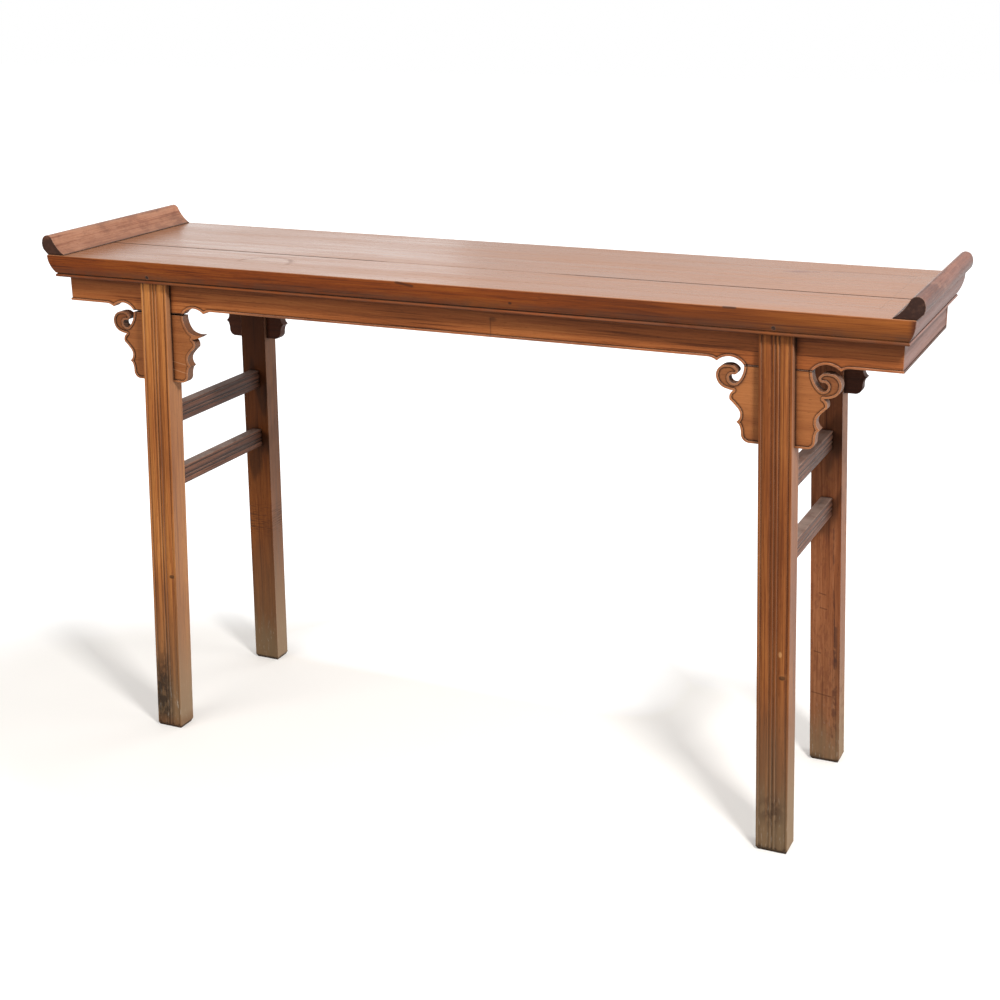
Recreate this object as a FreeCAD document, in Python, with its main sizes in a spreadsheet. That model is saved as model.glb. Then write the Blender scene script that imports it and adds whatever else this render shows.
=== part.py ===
"""Recessed-leg altar table with everted end flanges.

X runs along the table, Y from front to back and Z up. The origin is on the floor under the
middle of the top. Each piece is an object of its own, as it would lie on the bench when the
pegs are drawn: mitred frame, floating boards, braces, flanges, aprons, spandrels, forked legs
and side stretchers.
"""
import FreeCAD, Part
import math
import os

from FreeCAD import Rotation, Vector

ACROSS = Vector(1, 0, 0)
BEHIND = Vector(0, 1, 0)
UPRIGHT_ANGLE = 90
MITRE_ANGLE = 45
BACK_ANGLE = 180
SAME_POINT = 1e-6
SMOOTH_SINE = 0.3
PEG_SIDES = 6

os.makedirs("parts", exist_ok=True)
doc = FreeCAD.newDocument("AltarTable")
nodes = {}

# Driving dimensions, in millimetres
SIZES = (
    ("table_height", 850, "floor to the face of the top boards"),
    ("frame_length", 1458, "over the end arrises of the frame"),
    ("frame_depth", 373, "over the front and back arrises of the frame"),
    ("frame_thick", 38, "frame rail from top to underside"),
    ("rail_width", 62, "frame rail seen from above"),
    ("arris_round", 1.5, "worn top arris"),
    ("moulding_inset", 8.5, "how far the frame's edge draws in at its foot"),
    ("bead_height", 5, "bead along the foot of the moulding"),
    ("bead_swell", 2.2, "how far that bead stands out of its groove"),
    ("groove_height", 1.8, "groove between the moulding and its bead"),
    ("groove_depth", 1.6, "depth of that groove"),
    ("panel_thick", 12, "top board"),
    ("panel_play", 0.2, "gap between the boards and the frame round them"),
    ("front_board_width", 78.5, "from the frame's inner edge to the seam of the boards"),
    ("board_gap", 0.6, "opened seam between the two boards"),
    ("tongue_cover", 4, "wood above the boards' tongue"),
    ("tongue_thick", 5, "tongue round the boards and its groove"),
    ("tongue_reach", 8, "how far the tongue enters the frame"),
    ("tongue_spare", 1, "groove deeper than the tongue, for the boards to swell"),
    ("brace_width", 36, "brace under the boards"),
    ("brace_height", 20, "brace below the boards"),
    ("dovetail_height", 4, "dovetail ridge let into the boards"),
    ("dovetail_foot", 22, "dovetail ridge where it leaves the brace"),
    ("dovetail_head", 27, "dovetail ridge at its wide top"),
    ("brace_tenon_width", 22, "stub tenon of a brace"),
    ("brace_tenon_height", 11, "stub tenon of a brace"),
    ("brace_tenon_reach", 12, "stub tenon of a brace into the rail"),
    ("mitre_tenon_inset", 32, "end arris to the end rail's tenon"),
    ("mitre_tenon_width", 22, "tenon across the mitre"),
    ("mitre_tenon_thick", 12, "tenon across the mitre"),
    ("mitre_tenon_lift", 6, "rail underside to the tenon"),
    ("mitre_tenon_stop", 18, "wood left between the tenon and the front arris"),
    ("flange_foot", 33, "flange from its toe to the end arris"),
    ("flange_overhang", 10.7, "roll of the flange beyond the end arris"),
    ("flange_height", 32.3, "flange above the boards"),
    ("flange_setback", 3.4, "flange end behind the front arris"),
    ("flange_key_length", 40, "key under the flange, along it"),
    ("flange_key_thick", 9, "key under the flange, across it"),
    ("flange_key_depth", 9, "key let into the end rail"),
    ("flange_key_inset", 9, "end arris to the key"),
    ("flange_key_pitch", 112, "spacing of the keys"),
    ("board_thick", 16, "aprons and spandrels"),
    ("apron_inset", 31, "front arris to the apron's face"),
    ("end_apron_inset", 17.7, "end arris to the end apron's face"),
    ("apron_height", 44, "frame underside to the straight lower edge of the apron"),
    ("apron_tongue_thick", 6, "tongue on top of an apron"),
    ("apron_tongue_height", 5, "tongue on top of an apron"),
    ("apron_tongue_stop", 30, "tongue held back from the apron's corner"),
    ("seam_drop", 8.3, "straight lower edge down to the seam beside a leg"),
    ("arch_rise", 11.4, "seam up to the crown of the arch above a scroll"),
    ("spandrel_reach", 92, "leg centre line to the outside of a scroll"),
    ("spandrel_drop", 115, "seam down to the foot of a front spandrel"),
    ("back_spandrel_drop", 106, "seam down to the foot of a back spandrel"),
    ("spandrel_slip", 3, "how far the front left spandrel has sunk in its fork"),
    ("edge_bead", 3.4, "raised bead along the shaped edges"),
    ("field_depth", 1.5, "field sunk behind that bead"),
    ("leg_inset", 198, "end arris to a leg's centre line at the frame"),
    ("leg_face_inset", 20.3, "front arris to a leg's face at the frame"),
    ("leg_width", 50.5, "leg along the table"),
    ("leg_depth", 37, "leg across the table"),
    ("leg_spread_length", 28.6, "how far a foot stands out along the table"),
    ("leg_spread_depth", 16.7, "how far a foot stands out across the table"),
    ("leg_edge_bead", 4.3, "bead at each edge of a leg's face"),
    ("leg_centre_bead", 4, "each bead of the pair down the middle"),
    ("leg_groove", 1.9, "groove beside a bead of the leg"),
    ("leg_groove_depth", 1.6, "depth of the leg's grooves"),
    ("sole_height", 6, "floor to the top of the worn slope round a foot"),
    ("sole_wear", 3, "how far that slope goes in under the foot"),
    ("fork_play", 0.1, "clearance of a board in the leg's fork, on each face"),
    ("leg_tenon_width", 34, "tenon on each prong of the fork"),
    ("leg_tenon_thick", 7, "tenon on each prong of the fork"),
    ("leg_tenon_height", 18, "tenon into the frame"),
    ("peg_diameter", 7, "peg through the frame and the outer tenon"),
    ("peg_reach", 36, "front arris to the blind end of the peg"),
    ("peg_lift", 11, "frame underside to the peg's centre"),
    ("upper_stretcher_level", 576, "floor to the middle of the upper stretcher"),
    ("lower_stretcher_level", 462, "floor to the middle of the lower stretcher"),
    ("stretcher_height", 32, "side stretcher"),
    ("stretcher_thick", 20, "side stretcher"),
    ("stretcher_bead", 4, "beads along a stretcher's cheeks"),
    ("stretcher_groove", 2, "grooves along a stretcher's cheeks"),
    ("stretcher_swell", 1.3, "how far those mouldings stand out"),
    ("stretcher_tenon_height", 20, "tenon of a stretcher"),
    ("stretcher_tenon_thick", 8, "tenon of a stretcher"),
    ("stretcher_tenon_reach", 18, "tenon of a stretcher into the leg"),
    ("overrun", 5, "how far a cutting solid runs past what it cuts"),
)

# Places worked out from them, which pieces share
DERIVED = (
    ("half_length", "frame_length / 2"),
    ("half_depth", "frame_depth / 2"),
    ("frame_under", "table_height - frame_thick"),
    ("bay_length", "frame_length - 2 * rail_width"),
    ("bay_depth", "frame_depth - 2 * rail_width"),
    ("tongue_top", "table_height - tongue_cover"),
    ("groove_reach", "tongue_reach + tongue_spare"),
    ("board_under", "table_height - panel_thick"),
    ("seam_place", "front_board_width - bay_depth / 2"),
    ("brace_under", "board_under - brace_height"),
    ("board_face", "half_depth - apron_inset"),
    ("end_board_face", "half_length - end_apron_inset"),
    ("apron_under", "frame_under - apron_height"),
    ("seam_level", "apron_under - seam_drop"),
    ("spandrel_under", "seam_level - spandrel_drop"),
    ("back_spandrel_under", "seam_level - back_spandrel_drop"),
    ("leg_centre", "half_length - leg_inset"),
    ("leg_face", "half_depth - leg_face_inset"),
    ("outer_prong", "leg_face - board_face"),
    ("inner_prong", "leg_depth - outer_prong - board_thick"),
    ("foot_centre", "leg_centre + leg_spread_length"),
    ("foot_face", "leg_face + leg_spread_depth"),
)

sheet = doc.addObject("Spreadsheet::Sheet", "Sizes")
for row, (alias, value, note) in enumerate(SIZES, start=1):
    sheet.set(f"A{row}", alias)
    sheet.set(f"B{row}", str(value))
    sheet.set(f"C{row}", note)
    sheet.setAlias(f"B{row}", alias)
for row, (alias, formula) in enumerate(DERIVED, start=len(SIZES) + 1):
    sheet.set(f"A{row}", alias)
    sheet.set(f"B{row}", "=" + formula)
    sheet.setAlias(f"B{row}", alias)
doc.recompute()


def size(alias):
    """A value of the sheet as a plain number."""
    return float(sheet.get(alias))


# Paths: a start point, then (middle, end) pairs, where no middle means a straight run

def placed(path, place):
    """The path with every point moved by place."""
    runs = [(middle and place(middle), place(end)) for middle, end in path[1:]]
    return [place(path[0])] + runs


def walked_back(path):
    """The same path from its far end."""
    stops = [path[0]] + [end for middle, end in path[1:]]
    middles = [middle for middle, end in path[1:]]
    return [stops[-1]] + list(zip(reversed(middles), reversed(stops[:-1])))


def joined(*paths):
    """One path through all of them, with straight runs between."""
    whole = list(paths[0])
    for path in paths[1:]:
        whole.append((None, path[0]))
        whole.extend(path[1:])
    return whole


def closed_curves(path, lift):
    """Line and arc curves along a path and back to its start, in space by way of lift."""
    curves = []
    here = path[0]
    for middle, end in path[1:] + [(None, path[0])]:
        if math.dist(here, end) < SAME_POINT:
            continue
        if middle is None:
            curves.append(Part.LineSegment(lift(here), lift(end)))
        else:
            curves.append(Part.Arc(lift(here), lift(middle), lift(end)))
        here = end
    return curves


def flat(point):
    """A point of a path on a sketch's own plane."""
    return Vector(point[0], point[1], 0)


def inward_normals(edge):
    """Unit normals on the left of a flat outline's edge, at its start and at its end."""
    tangents = [edge.tangentAt(place) for place in edge.ParameterRange]
    return [Vector(-tangent.y, tangent.x, 0) for tangent in tangents]


def inset_middle(edge, normal, distance, start, end):
    """Middle point of the run from start to end inside an edge; None where it is straight."""
    if isinstance(edge.Curve, Part.Line):
        return None
    centre = edge.Curve.Center
    outwards = edge.valueAt(edge.FirstParameter) - centre
    if distance >= edge.Curve.Radius and normal.dot(outwards) < 0:
        return None
    towards = (start - centre) + (end - centre)
    if towards.dot(edge.valueAt(sum(edge.ParameterRange) / 2) - centre) < 0:
        towards = -towards
    middle = centre + towards.normalize() * (outwards + normal * distance).Length
    return (middle.x, middle.y)


def inset(path, distance):
    """An anticlockwise closed path moved inwards; corners that point inwards come out round."""
    edges = [curve.toShape() for curve in closed_curves(path, flat)]
    normals = [inward_normals(edge) for edge in edges]
    starts = []
    ends = []
    rounds = []
    for spot, edge in enumerate(edges):
        corner = edge.valueAt(edge.FirstParameter)
        before = normals[spot - 1][1]
        after = normals[spot][0]
        between = (before + after).normalize()
        turn = before.cross(after).z
        if turn < -SMOOTH_SINE or (turn < 0 and before.dot(after) < 0):
            starts.append(corner + after * distance)
            ends.append(corner + before * distance)
            rounds.append(corner + between * distance)
        else:
            shared = corner + between * (distance / between.dot(after))
            starts.append(shared)
            ends.append(shared)
            rounds.append(None)
    inner = [(starts[0].x, starts[0].y)]
    for spot, edge in enumerate(edges):
        following = (spot + 1) % len(edges)
        end = ends[following]
        middle = inset_middle(edge, normals[spot][0], distance, starts[spot], end)
        inner.append((middle, (end.x, end.y)))
        if rounds[following]:
            start = starts[following]
            inner.append(((rounds[following].x, rounds[following].y), (start.x, start.y)))
    return inner


# Document objects

def origin_plane(body, role):
    """The body's own origin plane with this role."""
    return next(item for item in body.Origin.OriginFeatures if item.Role == role)


def extrusion(label, role, path, length, offset=None, symmetric=False, reverse=False, lean=None):
    """A body whose closed outline on an origin plane is padded; sizes are sheet expressions."""
    body = doc.addObject("PartDesign::Body", label)
    sketch = body.newObject("Sketcher::SketchObject", label + "_outline")
    sketch.AttachmentSupport = [(origin_plane(body, role), "")]
    sketch.MapMode = "FlatFace"
    sketch.addGeometry(closed_curves(path, flat), False)
    for axis, text in (offset or {}).items():
        sketch.setExpression("AttachmentOffset.Base." + axis, text)
    feature = body.newObject("PartDesign::Pad", label + "_pad")
    feature.Profile = sketch
    feature.setExpression("Length", length)
    feature.SideType = "Symmetric" if symmetric else "One side"
    feature.Reversed = reverse
    if lean:
        feature.UseCustomVector = True
        feature.AlongSketchNormal = True
        feature.Direction = Vector(0, 0, 1)
        for axis, text in lean.items():
            feature.setExpression("Direction." + axis, text)
    sketch.Visibility = False
    return body


def box(label, corner, sides, angle=0):
    """A box from its low corner; corner and sides are sheet expressions, angle is about Z."""
    solid = doc.addObject("Part::Box", label)
    solid.Placement.Rotation = Rotation(Vector(0, 0, 1), angle)
    for name, text in zip(("Placement.Base.x", "Placement.Base.y", "Placement.Base.z"), corner):
        solid.setExpression(name, text)
    for name, text in zip(("Length", "Width", "Height"), sides):
        solid.setExpression(name, text)
    return solid


def fuse(label, *pieces):
    """One solid out of pieces that meet, or a group of tools."""
    whole = doc.addObject("Part::MultiFuse", label)
    whole.Shapes = list(pieces)
    return whole


def cut(label, base, *tools):
    """Base less all the tools."""
    result = doc.addObject("Part::Cut", label)
    result.Base = base
    result.Tool = tools[0] if len(tools) == 1 else fuse(label + "_tools", *tools)
    return result


def mirror(label, source, normal):
    """The source mirrored in the plane through the origin with this normal."""
    copy = doc.addObject("Part::Mirroring", label)
    copy.Source = source
    copy.Normal = normal
    return copy


# Mitred frame

MOULDING_CROWN_SHARES = (0.27, 0.55)


def rail_section(inward, panel_groove=True):
    """Section of a frame rail; inward turns a distance from the arris into the sketch's X."""
    top = size("table_height")
    under = size("frame_under")
    width = size("rail_width")
    inset = size("moulding_inset")
    rise = size("arris_round")
    bead_top = under + size("bead_height")
    face_foot = bead_top + size("groove_height")
    wall = inset + size("groove_depth")
    crown_in, crown_down = MOULDING_CROWN_SHARES
    crown = (inward(inset * crown_in), top - (top - face_foot) * crown_down)
    tongue_top = size("tongue_top")
    tongue_under = tongue_top - size("tongue_thick")
    floor = width - size("groove_reach")
    corner = rise * (1 - math.sqrt(0.5))
    path = [
        (inward(rise), top),
        ((inward(corner), top - corner), (inward(0), top - rise)),
        (crown, (inward(inset), face_foot)),
        (None, (inward(wall), face_foot)),
        (None, (inward(wall), bead_top)),
        ((inward(wall - size("bead_swell")), (bead_top + under) / 2), (inward(wall), under)),
        (None, (inward(width), under)),
    ]
    if panel_groove:
        path += [
            (None, (inward(width), tongue_under)),
            (None, (inward(floor), tongue_under)),
            (None, (inward(floor), tongue_top)),
            (None, (inward(width), tongue_top)),
        ]
    return path + [(None, (inward(width), top))]


def mitred(label, base, corner, width, end_piece=False):
    """Base with a 45 degree mitre at a front right corner and at its other end."""
    x, y = corner
    across = f"({width} + Sizes.overrun)"
    if end_piece:
        start = (f"{x} - {across}", f"{y} + {across}")
        angle = MITRE_ANGLE + BACK_ANGLE
        far_end = BEHIND
    else:
        start = (f"{x} + Sizes.overrun", f"{y} - Sizes.overrun")
        angle = MITRE_ANGLE
        far_end = ACROSS
    height = "Sizes.apron_height + Sizes.frame_thick + 2 * Sizes.overrun"
    tool = box(
        label + "_tool", start + ("Sizes.apron_under - Sizes.overrun",),
        (f"2 * {across}", f"2 * {across}", height), angle)
    return cut(label, base, tool, mirror(label + "_far_tool", tool, far_end))


frame_corner = ("Sizes.half_length", "-Sizes.half_depth")
apron_corner = ("Sizes.end_board_face", "-Sizes.board_face")

long_rail_blank = extrusion(
    "long_rail_blank", "YZ_Plane", rail_section(lambda u: u - size("half_depth")),
    "Sizes.frame_length", symmetric=True)
end_rail_blank = extrusion(
    "end_rail_blank", "XZ_Plane", rail_section(lambda u: size("half_length") - u),
    "Sizes.frame_depth", symmetric=True)
long_rail_mitred = mitred("long_rail_mitred", long_rail_blank, frame_corner, "Sizes.rail_width")
end_rail_mitred = mitred(
    "end_rail_mitred", end_rail_blank, frame_corner, "Sizes.rail_width", end_piece=True)

mitre_tenon = box(
    "mitre_tenon",
    ("Sizes.half_length - Sizes.mitre_tenon_inset - Sizes.mitre_tenon_width",
     "Sizes.mitre_tenon_stop - Sizes.half_depth",
     "Sizes.frame_under + Sizes.mitre_tenon_lift"),
    ("Sizes.mitre_tenon_width",
     "Sizes.rail_width - Sizes.mitre_tenon_stop + Sizes.overrun",
     "Sizes.mitre_tenon_thick"))
mitre_tenon_behind = mirror("mitre_tenon_behind", mitre_tenon, BEHIND)
mitre_tenon_left = mirror("mitre_tenon_left", mitre_tenon, ACROSS)

# Mouldings of the legs and stretchers

def reeded(width, strips, groove, swell):
    """Rounded strips across a face with grooves between them, from side to side and out from
    the grooves' floor; the strips that are None share the width that is left."""
    taken = sum(strip for strip in strips if strip) + groove * (len(strips) - 1)
    band = (width - taken) / strips.count(None)
    here = -width / 2
    path = [(here, 0)]
    for strip in strips:
        if len(path) > 1:
            here += groove
            path.append((None, (here, 0)))
        across = strip or band
        path.append(((here + across / 2, swell), (here + across, 0)))
        here += across
    return path


# Legs, as straight leaning prisms before they are forked and tenoned

def leg_section():
    """Section of a leg: a moulded face at Y zero, plain sides and back."""
    edge = size("leg_edge_bead")
    centre = size("leg_centre_bead")
    floor = size("leg_groove_depth")
    strips = (edge, None, centre, centre, None, edge)
    face = reeded(size("leg_width"), strips, size("leg_groove"), floor)
    half = size("leg_width") / 2
    depth = size("leg_depth")
    back = [(None, (half, depth)), (None, (-half, depth))]
    return placed(face, lambda point: (point[0], floor - point[1])) + back


LEG_LEAN = {"x": "-Sizes.leg_spread_length / Sizes.frame_under",
            "y": "Sizes.leg_spread_depth / Sizes.frame_under"}
foot_drift = {axis: f"Sizes.sole_height * ({slope})" for axis, slope in LEG_LEAN.items()}
leg_shaft = extrusion(
    "leg_shaft", "XY_Plane", leg_section(), "Sizes.frame_under - Sizes.sole_height",
    offset={"x": "Sizes.foot_centre + " + foot_drift["x"],
            "y": "-Sizes.foot_face + " + foot_drift["y"],
            "z": "Sizes.sole_height"},
    lean=LEG_LEAN)

# The sole is worn to a slope all round, and its mouldings are gone
sole = doc.addObject("Part::Wedge", "worn_sole")
sole.Placement.Rotation = Rotation(ACROSS, UPRIGHT_ANGLE)
for name, text in {
    "Placement.Base.x": "Sizes.foot_centre",
    "Placement.Base.y": "-Sizes.foot_face",
    "Xmin": "Sizes.sole_wear - Sizes.leg_width / 2",
    "Xmax": "Sizes.leg_width / 2 - Sizes.sole_wear",
    "X2min": "-Sizes.leg_width / 2 + " + foot_drift["x"],
    "X2max": "Sizes.leg_width / 2 + " + foot_drift["x"],
    "Ymin": "0 mm",
    "Ymax": "Sizes.sole_height",
    "Zmin": "Sizes.sole_wear - Sizes.leg_depth",
    "Zmax": "-Sizes.sole_wear",
    "Z2min": "-Sizes.leg_depth - " + foot_drift["y"],
    "Z2max": "-" + foot_drift["y"],
}.items():
    sole.setExpression(name, text)
leg_blank = fuse("leg_blank", leg_shaft, sole)
left_leg_blank = mirror("left_leg_blank", leg_blank, ACROSS)
back_leg_blank = mirror("back_leg_blank", leg_blank, BEHIND)


def leg_place(level):
    """Distance of a leg's centre line from the middle of the table at this height."""
    fall = size("frame_under") - level
    return size("leg_centre") + size("leg_spread_length") * fall / size("frame_under")


# Side stretchers, trimmed to the leaning legs and tenoned into them

def stretcher_section(level):
    """Section of a stretcher with both cheeks moulded, X across it and Y its height."""
    bead = size("stretcher_bead")
    swell = size("stretcher_swell")
    floor = size("stretcher_thick") / 2 - swell
    strips = (bead, None, bead, None)
    cheek = reeded(size("stretcher_height"), strips, size("stretcher_groove"), swell)
    centre = leg_place(level)
    right = placed(cheek, lambda point: (centre + floor + point[1], level - point[0]))
    left = placed(cheek, lambda point: (centre - floor - point[1], level - point[0]))
    return joined(right, walked_back(left))


def stretcher(name):
    """One stretcher on the right and the through-going bar of its two tenons."""
    level = f"Sizes.{name}_stretcher_level"
    fall = f"(Sizes.frame_under - {level})"
    centre = f"Sizes.leg_centre + Sizes.leg_spread_length * {fall} / Sizes.frame_under"
    inside = f"(Sizes.leg_face + Sizes.leg_spread_depth * {fall} / Sizes.frame_under - Sizes.leg_depth)"
    blank = extrusion(
        name + "_stretcher_blank", "XZ_Plane",
        stretcher_section(size(name + "_stretcher_level")),
        f"2 * {inside} + 2 * Sizes.overrun", symmetric=True)
    tenon = box(
        name + "_stretcher_tenon",
        (f"{centre} - Sizes.stretcher_tenon_thick / 2",
         f"-{inside} - Sizes.stretcher_tenon_reach",
         f"{level} - Sizes.stretcher_tenon_height / 2"),
        ("Sizes.stretcher_tenon_thick",
         f"2 * {inside} + 2 * Sizes.stretcher_tenon_reach",
         "Sizes.stretcher_tenon_height"))
    trimmed = cut(name + "_stretcher_trimmed", blank, leg_blank, back_leg_blank)
    return fuse(f"right_{name}_stretcher", trimmed, tenon), tenon


upper_stretcher, upper_tenon = stretcher("upper")
lower_stretcher, lower_tenon = stretcher("lower")

# Whittled pegs, flush with the moulding they are driven through

def peg_section():
    """Section of a peg: a regular outline with flat sides."""
    radius = size("peg_diameter") / 2
    height = size("frame_under") + size("peg_lift")
    corners = []
    for side in range(PEG_SIDES):
        angle = 2 * math.pi * (side + 0.5) / PEG_SIDES
        across = size("leg_centre") + radius * math.cos(angle)
        corners.append((across, height + radius * math.sin(angle)))
    return corners[:1] + [(None, corner) for corner in corners[1:]]


peg_rod = extrusion(
    "peg_rod", "XZ_Plane", peg_section(), "Sizes.peg_reach",
    offset={"z": "Sizes.half_depth"}, reverse=True)
peg = doc.addObject("Part::Common", "front_right_peg")
peg.Base = peg_rod
peg.Tool = long_rail_blank

# Forked legs

def prong_tenon(label, prong, cheek):
    """The tenon on one prong of the fork; cheek is the prong's outer face from the middle."""
    return box(
        label,
        ("Sizes.leg_centre - Sizes.leg_tenon_width / 2",
         f"-({cheek}) + (Sizes.{prong} - Sizes.leg_tenon_thick) / 2",
         "Sizes.frame_under - Sizes.overrun"),
        ("Sizes.leg_tenon_width", "Sizes.leg_tenon_thick", "Sizes.leg_tenon_height + Sizes.overrun"))


outer_tenon = prong_tenon("outer_prong_tenon", "outer_prong", "Sizes.leg_face")
inner_tenon = prong_tenon("inner_prong_tenon", "inner_prong", "Sizes.board_face - Sizes.board_thick")


def forked_leg(label, foot):
    """A leg at the front right whose fork goes down to the foot of its spandrel."""
    fork = box(
        label + "_fork",
        ("Sizes.leg_centre - Sizes.leg_width", "-Sizes.board_face - Sizes.fork_play", foot),
        ("2 * Sizes.leg_width", "Sizes.board_thick + 2 * Sizes.fork_play",
         f"Sizes.frame_under - ({foot}) + Sizes.overrun"))
    forked = cut(label + "_forked", leg_blank, fork)
    tenoned = fuse(label + "_tenoned", forked, outer_tenon, inner_tenon)
    return cut(label, tenoned, peg_rod, upper_tenon, lower_tenon)


right_leg = forked_leg("front_right_leg", "Sizes.spandrel_under")
sunk_leg = forked_leg("sunk_fork_leg", "Sizes.spandrel_under - Sizes.spandrel_slip")
back_leg = forked_leg("back_leg_pattern", "Sizes.back_spandrel_under")

# Spandrels and aprons

SCROLL_SHARES = [
    (0.54, 0),
    ((0.568, 0.122), (0.652, 0.222)),
    ((0.728, 0.242), (0.788, 0.191)),
    ((0.772, 0.143), (0.717, 0.129)),
    ((0.663, 0.117), (0.641, 0.074)),
    ((0.717, 0.017), (0.815, 0.009)),
    ((0.957, 0.061), (1, 0.157)),
    ((0.951, 0.261), (0.815, 0.322)),
    ((0.766, 0.332), (0.717, 0.335)),
]
BROKEN_SCROLL_SHARES = [
    (0.54, 0),
    ((0.568, 0.122), (0.652, 0.225)),
    ((0.761, 0.263), (0.957, 0.255)),
    ((0.87, 0.304), (0.717, 0.335)),
]
STUB_SCROLL_SHARES = [
    (0.54, 0),
    ((0.568, 0.122), (0.652, 0.225)),
    ((0.7, 0.252), (0.76, 0.262)),
    (None, (0.717, 0.335)),
]
LOWER_SPANDREL_SHARES = [
    (0.717, 0.335),
    ((0.78, 0.4), (0.777, 0.457)),
    ((0.707, 0.509), (0.647, 0.561)),
    ((0.607, 0.635), (0.67, 0.739)),
    (None, (0.625, 0.772)),
    ((0.6, 0.835), (0.596, 0.896)),
    ((0.56, 0.965), (0.457, 1)),
]
ARCH_SHARES = [
    (0.54, 0),
    ((0.62, 0.62), (0.76, 1)),
    ((0.9, 0.76), (0.985, 0.3)),
]
ARCH_END_SHARE = 1.15
ARCH_END_BOW_SHARE = 1.05
ARCH_END_RISE_SHARE = 0.6


def beside_leg(leg_side, hand, drop, slip):
    """Turns shares of reach and drop, from a leg's centre line and the seam, into X and Z."""
    def place(share):
        level = size("seam_level") - size(drop) * share[1] - slip
        return (leg_side * leg_place(level) + hand * size("spandrel_reach") * share[0], level)
    return place


def above_leg(leg_side, hand):
    """The same for the apron's arch, whose second share is one of the arch's rise."""
    def place(share):
        level = size("seam_level") + size("arch_rise") * share[1]
        return (leg_side * leg_place(level) + hand * size("spandrel_reach") * share[0], level)
    return place


def spandrel_half(scroll, place):
    """One side of a spandrel, from the seam down to its foot."""
    return placed(joined(scroll, LOWER_SPANDREL_SHARES), place)


def arch_half(leg_side, hand):
    """One arch of the apron, from the seam out to its straight lower edge."""
    place = above_leg(leg_side, hand)
    straight = size("seam_drop") / size("arch_rise")
    end = place((ARCH_END_SHARE, straight))
    return placed(ARCH_SHARES, place) + [(place((ARCH_END_BOW_SHARE, ARCH_END_RISE_SHARE)), end)]


def spandrel_path(leg_side, drop, inner=SCROLL_SHARES, slip=0):
    """The whole outline of a spandrel from left to right; inner is the scroll by the middle."""
    scrolls = {leg_side: SCROLL_SHARES, -leg_side: inner}
    left, right = (
        spandrel_half(scrolls[hand], beside_leg(leg_side, hand, drop, slip)) for hand in (-1, 1))
    return joined(left, walked_back(right))


def apron_path(end, top, spandrels=()):
    """The apron's outline; with spandrels it runs on round them, as one board would."""
    under = size("apron_under")
    path = [(-end, top), (None, (-end, under))]
    for leg_side, spandrel in zip((-1, 1), spandrels or (None, None)):
        path = joined(path, walked_back(arch_half(leg_side, -1)))
        if spandrel:
            path = joined(path, spandrel)
        path = joined(path, arch_half(leg_side, 1))
    return path + [(None, (end, under)), (None, (end, top))]


def board(label, path):
    """A shaped board whose face is the front boards' face."""
    return extrusion(
        label, "XZ_Plane", path, "Sizes.board_thick",
        offset={"z": "Sizes.board_face"}, reverse=True)


def sunk_field(label, spandrels):
    """What is planed off the boards' faces, all but the bead along their edges and the legs;
    the boards at the back, which stands against a wall, stay plain."""
    spare = 2 * size("edge_bead")
    path = apron_path(size("end_board_face") + spare, size("frame_under") + spare, spandrels)
    field = extrusion(
        label, "XZ_Plane", inset(path, size("edge_bead")), "Sizes.field_depth",
        offset={"z": "Sizes.board_face"}, reverse=True)
    return cut(label + "_between_legs", field, leg_blank, left_leg_blank)


slip = size("spandrel_slip")
front_left = spandrel_path(-1, "spandrel_drop", BROKEN_SCROLL_SHARES, slip)
front_left_field = spandrel_path(-1, "spandrel_drop", STUB_SCROLL_SHARES, slip)
front_right = spandrel_path(1, "spandrel_drop")
back_left = spandrel_path(-1, "back_spandrel_drop")
back_right = spandrel_path(1, "back_spandrel_drop")
front_field = sunk_field("front_field", (front_left_field, front_right))

apron_tongue = box(
    "apron_tongue",
    ("Sizes.apron_tongue_stop - Sizes.end_board_face",
     "(Sizes.board_thick - Sizes.apron_tongue_thick) / 2 - Sizes.board_face",
     "Sizes.frame_under"),
    ("2 * Sizes.end_board_face - 2 * Sizes.apron_tongue_stop",
     "Sizes.apron_tongue_thick", "Sizes.apron_tongue_height"))
end_apron_tongue = box(
    "end_apron_tongue",
    ("Sizes.end_board_face - (Sizes.board_thick + Sizes.apron_tongue_thick) / 2",
     "Sizes.apron_tongue_stop - Sizes.board_face",
     "Sizes.frame_under"),
    ("Sizes.apron_tongue_thick",
     "2 * Sizes.board_face - 2 * Sizes.apron_tongue_stop", "Sizes.apron_tongue_height"))
apron_blank = board("apron_blank", apron_path(size("end_board_face"), size("frame_under")))
apron_mitred = mitred("apron_mitred", apron_blank, apron_corner, "Sizes.board_thick")
apron_tongued = fuse("apron_tongued", apron_mitred, apron_tongue)
front_apron = cut("front_apron", apron_tongued, front_field)

end_apron_blank = box(
    "end_apron_blank",
    ("Sizes.end_board_face - Sizes.board_thick", "-Sizes.board_face", "Sizes.apron_under"),
    ("Sizes.board_thick", "2 * Sizes.board_face", "Sizes.apron_height"))
end_apron_field = box(
    "end_apron_field",
    ("Sizes.end_board_face - Sizes.field_depth", "-Sizes.board_face - Sizes.overrun",
     "Sizes.apron_under + Sizes.edge_bead"),
    ("Sizes.field_depth + Sizes.overrun", "2 * Sizes.board_face + 2 * Sizes.overrun",
     "Sizes.apron_height"))
end_apron_sunk = cut("end_apron_sunk", end_apron_blank, end_apron_field)
end_apron_mitred = mitred(
    "end_apron_mitred", end_apron_sunk, apron_corner, "Sizes.board_thick", end_piece=True)
right_end_apron = fuse("right_end_apron", end_apron_mitred, end_apron_tongue)

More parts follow.
